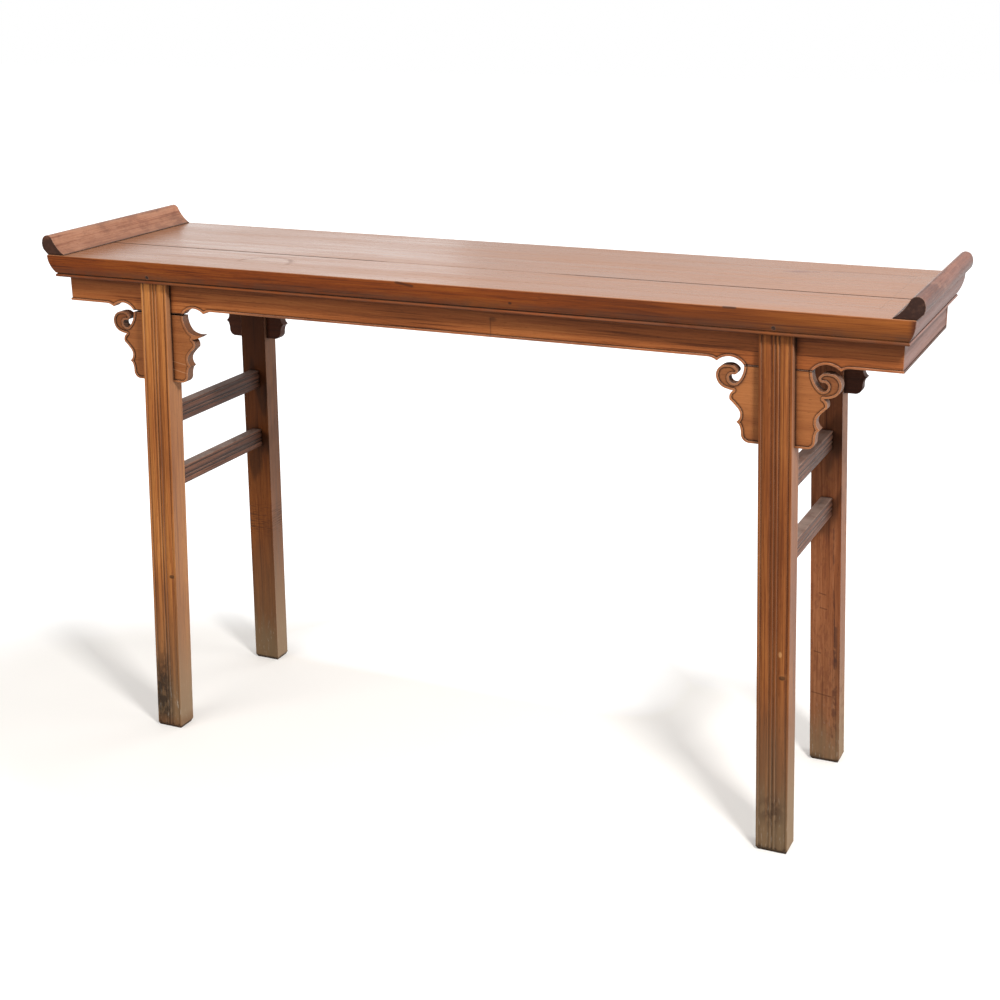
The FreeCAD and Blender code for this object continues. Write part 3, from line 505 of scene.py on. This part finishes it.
def apron_shade_under_frame(board):
    """Painted shade on the apron just under the frame, patchy and dull brown."""
    graph = board.graph
    # Painted shade in a band just under the frame.
    under_frame = graph.span(board.z, RAIL_FOOT - 34 * MM, RAIL_FOOT - 6 * MM)
    board.paint(graph.both(under_frame, board.uneven(0.5, board.patch, low=0.35)), SHADE_UNDER_FRAME, 0.55)


def apron_crack(board):
    """A short upright crack in the middle of the apron, with a stain at its upper end."""
    graph = board.graph
    board.paint(graph.line(board.place, (82, -155, 797), (82, -155, 768), width=2.2), APRON_CRACK, 0.45)
    board.paint(graph.oval(board.place, (86, -155, 796), radii=(9, 9, 6), soft=0.2), CRACK_STAIN, 0.5)


def open_joint(board):
    """The apron and the spandrel under it have shrunk apart along their joint."""
    board.paint(board.graph.near(board.z, APRON_FOOT, width=2.4), JOINT_SHADOW, 0.9)


def raised_bead(board):
    """A painted highlight along the bead round the sunk field, which beside the bead is soiled and has
    painted shade.
    """
    graph = board.graph
    depth = graph.math("ABSOLUTE", board.y)
    raised = graph.span(depth, APRON_FACE - 1 * MM, APRON_FACE - 0.3 * MM)
    front = board.facing("Y", 0.6, 0.9, both_ways=True)
    low = graph.span(board.z, RAIL_FOOT - 22 * MM, RAIL_FOOT - 37 * MM)
    # Painted highlight along the raised bead.
    board.paint(graph.both(raised, front, low, board.uneven(0.45, low=0.32)), BEAD_HIGHLIGHT, 0.2)
    # Soiling and painted shade in the sunk field beside the bead.
    sunk = graph.span(depth, APRON_FACE - 0.3 * MM, APRON_FACE - 0.8 * MM)
    board.paint(graph.both(sunk, graph.span(board.close, 0.93, 0.7)), BEAD_DIRT_AND_SHADE, 0.75)


def sawn_edge(board):
    """The sawn outline of a spandrel never took the wax, and has gone grey."""
    outline = board.facing("Y", 0.6, 0.3, both_ways=True)
    board.paint(board.graph.both(outline, board.uneven(0.6)), SAWN_GREY, 0.75)


def curl_shade(*centres):
    """Painted shade in the curls, which are painted darker brown."""
    def mark(board):
        graph = board.graph
        for x, z in centres:
            curl = graph.oval(board.place, (x, -156, z), radii=(25, 20, 25), soft=0.75)
            # Painted shade, darker brown, in each curl.
            board.paint(graph.both(curl, board.uneven(0.6)), CURL_SHADE_BROWN, 0.5)
    return mark


def scratches(board):
    """Two short pale scratches on the left front spandrel."""
    upper = ((-516, -154.5, 678), (-486, -154.5, 673))
    lower = ((-514, -154.5, 664), (-487, -154.5, 658.5))
    for start, end in (upper, lower):
        board.paint(board.graph.line(board.place, start, end, width=1.1), SCRATCH, 0.5)


# The marks of the legs and stretchers, and their colours.
LEG_STREAK = (96, 46, 20)
GROOVE_DIRT_AND_SHADE = (72, 34, 16)
AGED_FOOT = (116, 92, 66)
DUSTY_FOOT = (122, 104, 78)
SOLE_DIRT = (62, 46, 32)
FOOT_SCUFF = (180, 166, 148)
PAINTED_SIDE_SHEEN = (182, 144, 118)
PAINTED_SIDE_SHEEN_LOW = (178, 154, 124)
KNOT_HOLE = (36, 20, 12)
HOLE_EDGE = (176, 116, 66)
WATER_BLACK = (42, 34, 28)
DAMP_BROWN = (126, 86, 54)
SMUDGE = (62, 44, 34)
PALE_BRUISE = (204, 150, 96)
LEG_CUT = (56, 32, 20)
LEG_CHECK = (66, 42, 34)
LEG_BLOTCH = (98, 50, 34)
LEG_NICK = (70, 38, 24)
LEG_SHADE = (56, 26, 10)
LEG_STAIN = (36, 22, 14)
STRETCHER_DIRT_AND_SHADE = (34, 20, 14)
GREY_DUST = (158, 138, 126)

# The grooves across a leg's moulded face and up a stretcher's side, in millimetres from its middle.
LEG_GROOVES = (0, 5.9, 20.0)
STRETCHER_GROOVES = (11, 0, -6)


def leg_wear(hand, side, scuffs, aged):
    """Dark grooves on the moulded face, soiled and with painted shade, a foot that has stood on damp and
    dusty floors, and a painted sheen on the side facing right.
    """
    def mark(board):
        graph = board.graph
        middle = graph.math("MULTIPLY_ADD", board.z, -hand * LEAN_LENGTH, hand * FOOT_X)
        across = graph.math("ABSOLUTE", graph.math("SUBTRACT", board.x, middle))
        face = graph.math("MULTIPLY_ADD", board.z, -side * LEAN_DEPTH, side * FOOT_FACE)
        board.moulded = graph.near(graph.math("SUBTRACT", board.y, face), 0.0, width=5, soft=0.8)
        streaks = board.grained(along=1.8, across=460, shift=(3.1, 5.7, 0))
        board.paint(graph.both(graph.span(streaks, 0.52, 0.64), board.moulded), LEG_STREAK, 0.55)
        # Soiling and painted shade in the grooves.
        grooves = graph.either(*(graph.near(across, offset * MM, width=1.2) for offset in LEG_GROOVES))
        grooves = graph.both(grooves, board.moulded, board.uneven(0.3, board.band, low=0.35))
        board.paint(grooves, GROOVE_DIRT_AND_SHADE, 0.6)
        ragged = graph.swing(board.patch, 0.2, board.z)
        board.paint(graph.span(ragged, 0.34, 0.05), AGED_FOOT, aged)
        board.paint(graph.span(graph.swing(board.band, 0.08, ragged), 0.11, 0.02), DUSTY_FOOT, 0.55)
        board.paint(graph.span(graph.swing(board.rub, 0.03, board.z), 0.012, 0.0), SOLE_DIRT, 0.6)
        scuffed = graph.span(board.grained(along=60, across=300, detail=3.0), 0.6, 0.7)
        board.paint(graph.both(scuffed, graph.span(board.z, 0.14, 0.03)), FOOT_SCUFF, scuffs)
        # Painted sheen on the side facing right, and paler low down on it.
        lit_side = board.facing("X", 0.3, 0.9)
        board.paint(graph.both(lit_side, board.uneven(0.6, board.patch)), PAINTED_SIDE_SHEEN, 0.36)
        board.paint(graph.both(lit_side, graph.span(ragged, 0.24, 0.06)), PAINTED_SIDE_SHEEN_LOW, 0.4)
        board.roughen(graph.span(board.z, 0.25, 0.02), 0.2)
    return mark


def old_spot(x):
    """The dark oval where a knot fell out of a front leg."""
    def mark(board):
        graph = board.graph
        board.paint(graph.oval(board.place, (x, -177, 292), radii=(6, 12, 4.2), soft=0.6), KNOT_HOLE, 0.9)
        board.paint(graph.oval(board.place, (x + 3, -177, 294), radii=(12, 14, 7), soft=0.3), HOLE_EDGE, 0.2)
    return mark


def black_foot(board):
    """Water has blackened the front of the left front foot."""
    graph = board.graph
    blots = board.mottled((150, 150, 70), (3, 1, 8), detail=4.0, roughness=0.65)
    height = graph.swing(blots, 0.16, graph.swing(board.band, 0.1, board.z))
    inwards = graph.swing(blots, 0.03, board.x)
    damp = graph.both(graph.span(height, 0.17, 0.1), graph.span(inwards, -0.543, -0.562), board.moulded)
    board.paint(graph.both(damp, board.uneven(0.45, blots, 0.36, 0.56)), WATER_BLACK, 0.85)
    board.paint(graph.span(board.z, 0.03, 0.01), DAMP_BROWN, 0.5)


def smudged_foot(board):
    """A dark smudge low on the right front foot, and a pale bruise over its knot hole."""
    graph = board.graph
    blots = board.mottled((110, 110, 60), (5, 2, 3), detail=3.0)
    smudge = graph.oval(board.place, (557, -182, 70), radii=(30, 14, 40), soft=0.2)
    board.paint(graph.both(smudge, graph.span(blots, 0.38, 0.56)), SMUDGE, 0.6)
    board.paint(graph.oval(board.place, (559, -176, 329), radii=(3.5, 6, 6)), PALE_BRUISE, 0.6)


def scratched_leg(board):
    """Short cuts across the inner face of the back left leg."""
    graph = board.graph
    cuts = board.mottled((55, 20, 480))
    stretch = graph.both(graph.span(board.z, 0.255, 0.28), graph.span(board.z, 0.335, 0.31))
    board.paint(graph.both(graph.span(cuts, 0.52, 0.62), stretch), LEG_CUT, 0.6)


def cracked_leg(board):
    """A long check, a cross cut and nicks on the inner face of the back right leg."""
    graph = board.graph
    shaken = board.shaken((4, 0, 0))
    ragged = board.mottled((140, 60, 70), (2, 5, 1), detail=3.0)
    check = ((558, 136.9, 440), (573, 142.8, 150), 1.8)
    low_split = ((572, 142, 190), (575, 144.9, 50), 6.0)
    high_split = ((570, 141, 250), (572, 141.8, 190), 4.0)
    for start, end, width in (check, low_split, high_split):
        split = graph.line(shaken, start, end, width)
        board.paint(graph.both(split, board.uneven(0.15, ragged, 0.4, 0.56)), LEG_CHECK, 0.6)
    blotches = graph.both(graph.span(ragged, 0.5, 0.64), graph.span(board.patch, 0.4, 0.6))
    board.paint(blotches, LEG_BLOTCH, 0.35)
    cross_cut = ((533, 143.3, 127), (566, 143.4, 123))
    nicks = (((538, 139.6, 309), (549, 139.6, 307)),
             ((541, 140.1, 283), (552, 140.1, 281)),
             ((534, 141.7, 203), (545, 141.7, 201)))
    for start, end in (cross_cut, *nicks):
        board.paint(graph.line(board.place, start, end, width=1.6), LEG_NICK, 0.55)


def shaded_leg(amount):
    """Painted shade on the back legs, darkest under the frame and less on the side facing right, with two
    darker stained bands across.
    """
    def mark(board):
        graph = board.graph
        ragged = graph.swing(board.patch, 0.4, board.z)
        inward = board.facing("X", 0.8, 0.3, least=0.3)
        board.paint(graph.both(graph.span(ragged, 0.3, 0.7), inward), LEG_SHADE, amount)
        upper = graph.near(ragged, 0.575, width=36, soft=0.2)
        lower = graph.near(ragged, 0.46, width=30, soft=0.2)
        board.paint(graph.both(graph.either(upper, lower), inward), LEG_STAIN, 0.5)
    return mark


def stretcher_wear(middle):
    """Dirt and painted shade along the mouldings of a stretcher at this level, and grey dust on what faces
    up.
    """
    def mark(board):
        graph = board.graph
        # Dirt and painted shade in the moulding's grooves on the cheeks.
        lines = [graph.near(board.z, middle + offset * MM, width=1.5) for offset in STRETCHER_GROOVES]
        cheek = board.facing("X", 0.2, 0.5, both_ways=True)
        board.paint(graph.both(graph.either(*lines), cheek), STRETCHER_DIRT_AND_SHADE, 0.85)
        dusty(board)
    return mark


def dusty(board):
    """Grey dust on what faces up."""
    up = board.facing("Z", 0.3, 0.95)
    board.paint(board.graph.both(up, board.uneven(0.5)), GREY_DUST, 0.6)
    board.roughen(up, 0.15)


# The marks of the right end and the flanges, and their colours.
BLEACHED_AND_SHEEN_END = (132, 109, 105)
END_BAND = (88, 62, 56)
END_ARRIS = (52, 30, 22)
END_GROOVE_DIRT_AND_SHADE = (66, 40, 32)
GREY_BEAD = (118, 94, 86)
DARK_BEAD_FOOT = (84, 58, 48)
FLANGE_MOTTLE = (104, 60, 44)
FLANGE_RUBBED = (200, 150, 122)
FLANGE_JOINT = (40, 22, 14)
FLANGE_END_GRAIN = (44, 24, 17)
END_GRAIN_FLECK = (88, 58, 44)
PAINTED_REFLECTION_ARRIS = (206, 188, 180)
RUDDY_BROW = (160, 108, 90)
RED_SKIN = (188, 112, 78)
FLANGE_BRUISE = (104, 52, 38)


def dull_end(board):
    """The right end is painted pale and grey, partly as bleaching by daylight and partly as painted sheen,
    with soiling and painted shade along its grooves and joints.
    """
    graph = board.graph
    side = board.facing("X", 0.3, 0.9)
    # Pale grey on the right-facing side: partly bleaching, partly painted sheen.
    board.paint(graph.both(side, board.uneven(0.55, board.patch, low=0.32)), BLEACHED_AND_SHEEN_END, 0.74)
    board.paint(graph.both(side, graph.span(board.band, 0.5, 0.66)), END_BAND, 0.45)
    arris = graph.span(board.z, TOP_LEVEL - 3 * MM, TOP_LEVEL - 0.6 * MM)
    board.paint(graph.both(side, arris), END_ARRIS, 0.85)
    # Soiling and painted shade in the groove and along the joint below it.
    board.paint(graph.both(side, graph.near(board.z, RAIL_FOOT + 6.5 * MM, width=3)), END_GROOVE_DIRT_AND_SHADE, 0.8)
    board.paint(graph.both(side, graph.near(board.z, RAIL_FOOT - 1.5 * MM, width=4)), END_GROOVE_DIRT_AND_SHADE, 0.7)


def grey_bead(board):
    """Dirt has darkened the bead along the foot and the ends of the right end apron."""
    graph = board.graph
    mitre = graph.span(graph.math("ABSOLUTE", board.y), APRON_FACE - 2.3 * MM, APRON_FACE - 1.3 * MM)
    board.paint(mitre, GREY_BEAD, 0.75)
    foot = graph.span(board.z, END_APRON_FOOT + 4.4 * MM, END_APRON_FOOT + 3.4 * MM)
    board.paint(foot, DARK_BEAD_FOOT, 0.85)


def flange_wear(board):
    """Near black end grain, a dark joint where the flange sits on the frame, and a mottled skin."""
    graph = board.graph
    mottle = board.mottled((60, 34, 60), detail=4.0, roughness=0.6)
    board.paint(graph.span(mottle, 0.48, 0.66), FLANGE_MOTTLE, 0.45)
    board.paint(graph.span(mottle, 0.48, 0.34), FLANGE_RUBBED, 0.15)
    board.paint(graph.span(board.z, TOP_LEVEL + 2.7 * MM, TOP_LEVEL + 0.8 * MM), FLANGE_JOINT, 0.85)
    flecks = board.mottled((200, 40, 200), detail=3.0)
    board.paint(board.end_face, FLANGE_END_GRAIN, 0.85)
    board.paint(graph.both(board.end_face, graph.span(flecks, 0.54, 0.7)), END_GRAIN_FLECK, 0.3)


def flange_reflection_and_brow(board):
    """A painted reflection along the right flange's inner arris, and ruddy patches along its brow."""
    graph = board.graph
    inner = board.facing("X", -0.2, -0.6)
    high = graph.span(board.z, TOP_LEVEL + 14 * MM, TOP_LEVEL + 24 * MM)
    # Painted reflection of the pale room on the upper inner face.
    board.paint(graph.both(inner, high, board.uneven(0.6)), PAINTED_REFLECTION_ARRIS, 0.7)
    brow = graph.span(board.z, TOP_LEVEL + 10 * MM, TOP_LEVEL + 25 * MM)
    ruddy = graph.both(graph.span(board.patch, 0.45, 0.62), brow, graph.span(board.end_face, 0.6, 0.2))
    board.paint(ruddy, RUDDY_BROW, 0.35)


def bruised_flange(board):
    """Blotches near the front of the left flange, where its skin has also stayed reddest."""
    graph = board.graph
    board.paint(graph.span(board.patch, 0.4, 0.62), RED_SKIN, 0.3)
    bruise = graph.oval(board.place, (-703, -125, 876), radii=(12, 24, 9), soft=0.2)
    board.paint(graph.both(bruise, graph.span(board.rub, 0.4, 0.6)), FLANGE_BRUISE, 0.6)


# Each wood's dark, middle and light colours.
RAIL = ((72, 29, 6), (124, 56, 10), (153, 84, 24))
TOP = ((118, 73, 46), (158, 104, 69), (183, 128, 91))
APRON = ((96, 48, 19), (148, 81, 38), (180, 110, 58))
LEFT_LEG = ((106, 54, 22), (168, 101, 49), (210, 142, 76))
RIGHT_LEG = ((84, 40, 15), (132, 73, 33), (174, 110, 56))
# The back left leg's palette is darker, partly as painted shade under the top.
SHADED_BACK_LEG = ((66, 30, 9), (110, 58, 23), (146, 86, 40))
FAR_LEG = ((80, 40, 22), (134, 77, 44), (170, 110, 72))
LEFT_FLANGE = ((126, 72, 48), (166, 113, 84), (196, 144, 113))
RIGHT_FLANGE = ((48, 26, 20), (90, 52, 40), (142, 94, 76))
SPANDREL = ((108, 56, 26), (150, 90, 48), (180, 114, 64))
# The back spandrels' palette is near black, as painted shade under the table.
SHADED_BACK_SPANDREL = ((42, 20, 11), (68, 34, 19), (94, 50, 30))
STRETCHER = ((42, 24, 16), (90, 54, 37), (138, 94, 72))
PEG = ((30, 16, 9), (52, 28, 16), (78, 46, 28))


def dress(node, **look):
    """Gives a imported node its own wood, in every slot of its mesh."""
    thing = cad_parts[node]
    material = wood(node + "_wood", **look)
    for index in range(len(thing.material_slots)):
        thing.material_slots[index].material = material


def dress_top():
    """The frame and the boards of the top, which were polished together, and the hidden braces."""
    satin = dict(wax=0.54, sheen=0.3, grime_and_shade=0.6)
    rail = dict(palette=RAIL, upper=TOP, streak=0.6, thread=0.8, **satin)
    dress("front_rail", grain="X", seed=1.0, pith=(0.31, -0.7), worn=0.4,
          marks=(polished_top, moulded_edge, front_edge), **rail)
    dress("back_rail", grain="X", seed=2.0, pith=(-0.05, -0.6), worn=0.4,
          marks=(polished_top, moulded_edge), **rail)
    dress("left_end_rail", grain="Y", seed=3.0, pith=(0.9, -0.7), worn=0.4,
          marks=(polished_top, open_seam, moulded_edge), **rail)
    dress("right_end_rail", grain="Y", seed=4.0, pith=(-0.5, -0.7), worn=0.12,
          marks=(polished_top, open_seam, moulded_edge, dull_end), **rail)
    plank = dict(palette=TOP, upper=TOP, grain="X", marks=(polished_top, open_seam, top_wear), **satin)
    dress("front_top_board", **FRONT_PLANK, **plank)
    dress("back_top_board", **BACK_PLANK, **plank)
    braces = ("left_outer_brace", "left_inner_brace", "right_inner_brace", "right_outer_brace")
    for number, node in enumerate(braces):
        dress(node, palette=APRON, grain="Y", seed=7.0 + number, pith=(0.3, -0.6))


def dress_flanges():
    """The everted flanges, the left one redder and the right one with a painted reflection along its inner
    arris.
    """
    flange = dict(grain="Y", figure=0.4, wax=0.46, cut_end=0.6, streak=0.6, thread=0.8)
    dress("left_flange", palette=LEFT_FLANGE, seed=11.0, pith=(0.8, -0.9),
          marks=(flange_wear, bruised_flange), **flange)
    dress("right_flange", palette=RIGHT_FLANGE, seed=12.0, pith=(-0.8, -0.9),
          marks=(flange_wear, flange_reflection_and_brow), **flange)


def dress_aprons():
    """The aprons round the table, duller towards the right end."""
    apron = dict(palette=APRON, figure=0.4, streak=0.7, thread=0.9, wax=0.55, sheen=0.25)
    dress("front_apron", grain="X", seed=13.0, pith=(0.35, -0.7), worn=0.7,
          marks=(apron_shade_under_frame, apron_crack, raised_bead, open_joint), **apron)
    dress("back_apron", grain="X", seed=14.0, pith=(-0.35, -0.7), worn=0.7,
          marks=(apron_shade_under_frame, dull_end), **apron)
    dress("left_end_apron", grain="Y", seed=15.0, pith=(0.9, -0.7), worn=0.7,
          marks=(apron_shade_under_frame,), **apron)
    dress("right_end_apron", grain="Y", seed=16.0, pith=(-0.9, -0.7), worn=0.1,
          marks=(apron_shade_under_frame, dull_end, grey_bead), **apron)


def dress_spandrels():
    """The scrolled spandrels, with rubbed edges that carry a painted highlight at the front, and a darker
    palette at the back as painted shade.
    """
    spandrel = dict(grain="X", pith=(0.3, -0.6), figure=0.15, streak=0.5, thread=0.5, wax=0.55, sheen=0.25,
                    cut_end=0.1)
    front = dict(palette=SPANDREL, worn=0.9, arris=0.7, **spandrel)
    back = dict(palette=SHADED_BACK_SPANDREL, worn=0.3, **spandrel)
    dress("front_left_spandrel", seed=17.0,
          marks=(curl_shade((-608, 744)), sawn_edge, raised_bead, scratches, open_joint), **front)
    dress("front_right_spandrel", seed=18.0,
          marks=(curl_shade((464, 745), (607, 748)), sawn_edge, raised_bead, open_joint), **front)
    dress("back_left_spandrel", seed=19.0, **back)
    dress("back_right_spandrel", seed=20.0, **back)


def dress_leg(node, palette, *marks, seed, scuffs, aged):
    """A leg's wood, with its grain leaning as the leg does."""
    hand = -1 if "left" in node else 1
    side = -1 if "front" in node else 1
    dress(node, palette=palette, grain="Z", seed=seed,
          lean=(-LEAN_LENGTH * hand, -LEAN_DEPTH * side), pith=(-0.5 * hand, 0.3 * side),
          figure=0.3, streak=0.6, thread=0.7, wax=0.55, sheen=0.2,
          marks=(leg_wear(hand, side, scuffs, aged), *marks))


def dress_stretchers():
    """The side stretchers, two at each end, soiled and with painted shade along their mouldings."""
    names = ("left_upper_stretcher", "left_lower_stretcher", "right_upper_stretcher", "right_lower_stretcher")
    for number, node in enumerate(names):
        middle = (begins(node, "z") + ends(node, "z")) / 2
        dress(node, palette=STRETCHER, grain="Y", seed=25.0 + number, pith=(0.5, -0.3),
              figure=0.2, streak=0.9, thread=0.9, sheen=0.3, marks=(stretcher_wear(middle),))


dress_top()
dress_flanges()
dress_aprons()
dress_spandrels()
dress_leg("front_left_leg", LEFT_LEG, old_spot(-533), black_foot, seed=21.0, scuffs=0.8, aged=0.6)
dress_leg("front_right_leg", RIGHT_LEG, smudged_foot, old_spot(563.5), seed=22.0, scuffs=0.3, aged=0.6)
dress_leg("back_left_leg", SHADED_BACK_LEG, shaded_leg(0.75), scratched_leg, seed=23.0, scuffs=0.3, aged=0.5)
dress_leg("back_right_leg", FAR_LEG, shaded_leg(0.45), cracked_leg, seed=24.0, scuffs=0.3, aged=0.25)
dress_stretchers()
dress("leg_pegs", palette=PEG, grain="Y", seed=29.0, cut_end=0.0, worn=0.1)

# The studio. Places and sizes are in metres, and its colours are the shader's own linear numbers.
WHITE = (1, 1, 1, 1)
FLOOR_REACH = 14.0
FLOOR_SEEN = (0.97, 0.93, 0.875, 1)
FLOOR_LIT = (0.42, 0.415, 0.41, 1)
FLOOR_GLOW = 1.4


def floor_whiteness(graph, path, spot):
    """How far the floor is plain white: away from the feet, where it paints light over the shadow of the
    table's top, and in reflections of its back.
    """
    away = graph.vector_math("LENGTH", graph.stretch(spot, (1, 2.2, 1), (0, 0.22, 0)))
    # Behind the table's middle, light is painted over the table's shadow.
    middle = graph.math("ABSOLUTE", graph.math("ADD", graph.split(spot)[0], 0.17))
    middle = graph.both(graph.span(middle, 0.5, 0.25), graph.span(graph.split(spot)[1], 0.12, 0.26))
    share = graph.either(graph.span(away, 0.95, 1.5, 0.14, 1.0), graph.math("MULTIPLY", middle, 0.75))
    seen = graph.math("MULTIPLY", path.outputs["Is Camera Ray"], share)
    behind = graph.span(graph.split(spot)[1], -0.5, 0.8, 0.05, 0.9)
    mirrored = graph.math("MULTIPLY", path.outputs["Is Glossy Ray"], behind)
    return graph.either(seen, mirrored)


def pale_floor():
    """A floor that takes the soft shadows round the table's feet, fades to white round it, and has light
    painted over the rest of the table's shadow.
    """
    material = bpy.data.materials.new("pale_floor")
    material.use_nodes = True
    graph = Graph(material.node_tree)
    path = graph.add("LightPath")
    spot = graph.add("TexCoord").outputs["Object"]
    plain = graph.add("BsdfDiffuse", Color=graph.mix(path.outputs["Is Camera Ray"], FLOOR_LIT, FLOOR_SEEN))
    glow = graph.add("Emission", Color=WHITE, Strength=FLOOR_GLOW)
    surface = graph.add("MixShader")
    graph.plug(surface.inputs[0], floor_whiteness(graph, path, spot))
    graph.tree.links.new(plain.outputs[0], surface.inputs[1])
    graph.tree.links.new(glow.outputs[0], surface.inputs[2])
    graph.tree.links.new(surface.outputs[0], graph.add("OutputMaterial").inputs["Surface"])
    return material


def lay_floor():
    """One wide level sheet under the feet."""
    signs = ((-1, -1), (1, -1), (1, 1), (-1, 1))
    mesh = bpy.data.meshes.new("floor")
    mesh.from_pydata([(x * FLOOR_REACH, y * FLOOR_REACH, 0) for x, y in signs], [], [(0, 1, 2, 3)])
    mesh.materials.append(pale_floor())
    floor = bpy.data.objects.new("floor", mesh)
    bpy.context.scene.collection.objects.link(floor)


def light_studio():
    """A white room to look at, dimmer where it lights the table or shows in its gloss from the front."""
    world = bpy.data.worlds.new("studio")
    bpy.context.scene.world = world
    world.use_nodes = True
    graph = Graph(world.node_tree)
    path = graph.add("LightPath")
    towards = graph.split(graph.add("TexCoord").outputs["Generated"])
    behind = graph.span(towards[1], -0.1, 0.4, 0.08, 1.0)
    mirrored = graph.math("MULTIPLY", path.outputs["Is Glossy Ray"], behind)
    seen = graph.either(path.outputs["Is Camera Ray"], mirrored, path.outputs["Is Transmission Ray"])
    level = graph.either(seen, graph.math("MULTIPLY", path.outputs["Is Diffuse Ray"], 0.4))
    sky = graph.add("Background", Color=WHITE, Strength=level)
    graph.tree.links.new(sky.outputs[0], graph.add("OutputWorld").inputs["Surface"])


def panel(name, place, aim, size, watts):
    """A soft white rectangular lamp at a place, turned to what it lights."""
    data = bpy.data.lights.new(name, "AREA")
    data.shape = "RECTANGLE"
    data.size, data.size_y = size
    data.energy = watts
    lamp = bpy.data.objects.new(name, data)
    lamp.location = place
    lamp.rotation_euler = (Vector(aim) - Vector(place)).to_track_quat("-Z", "Y").to_euler()
    bpy.context.scene.collection.objects.link(lamp)
    return lamp


def hang_lamps():
    """A small key lamp over the front right, and large soft ones round the table."""
    middle = (0, 0, 0.5)
    panel("key", (1.6, -1.36, 2.4), middle, size=(0.4, 0.4), watts=62)
    fill = panel("fill", (-1.6, -3.0, 1.6), middle, size=(2.4, 2.0), watts=52)
    fill.visible_glossy = False
    panel("side", (3.0, 0.5, 1.4), (0, 0, 0.6), size=(1.4, 1.6), watts=27)
    rear = panel("rear", (-3.0, 3.2, 1.5), (0, 0, 0.9), size=(2.6, 1.6), watts=8)
    rear.visible_camera = False
    back = panel("back", (1.2, 3.4, 1.7), middle, size=(2.4, 2.0), watts=30)
    back.visible_camera = False
    back.visible_glossy = False


# The photograph's camera: its focal length and frame in pixels, the sensor in millimetres, its place
# in metres, and its turn to the left, its tilt and its roll in degrees from looking level along y.
FOCAL_PIXELS = 1671.55
FRAME_PIXELS = 1000
SENSOR = 36
CAMERA_PLACE = (1.14527, -2.41982, 1.34228)
CAMERA_TURN = 24.9
CAMERA_TILT = -18.5
CAMERA_ROLL = 0.88


def turned(degrees, axis):
    """A turn about one axis."""
    return Matrix.Rotation(math.radians(degrees), 3, axis)


def set_camera():
    """The camera that the photograph was solved for."""
    data = bpy.data.cameras.new("camera")
    data.sensor_fit = "HORIZONTAL"
    data.sensor_width = SENSOR
    data.lens = FOCAL_PIXELS * SENSOR / FRAME_PIXELS
    camera = bpy.data.objects.new("camera", data)
    look = turned(CAMERA_TURN, "Z") @ turned(CAMERA_TILT, "X") @ turned(CAMERA_ROLL, "Y") @ turned(90, "X")
    camera.matrix_world = Matrix.Translation(CAMERA_PLACE) @ look.to_4x4()
    bpy.context.scene.collection.objects.link(camera)
    bpy.context.scene.camera = camera


lay_floor()
light_studio()
hang_lamps()
set_camera()
bpy.context.scene.view_settings.view_transform = "Standard"
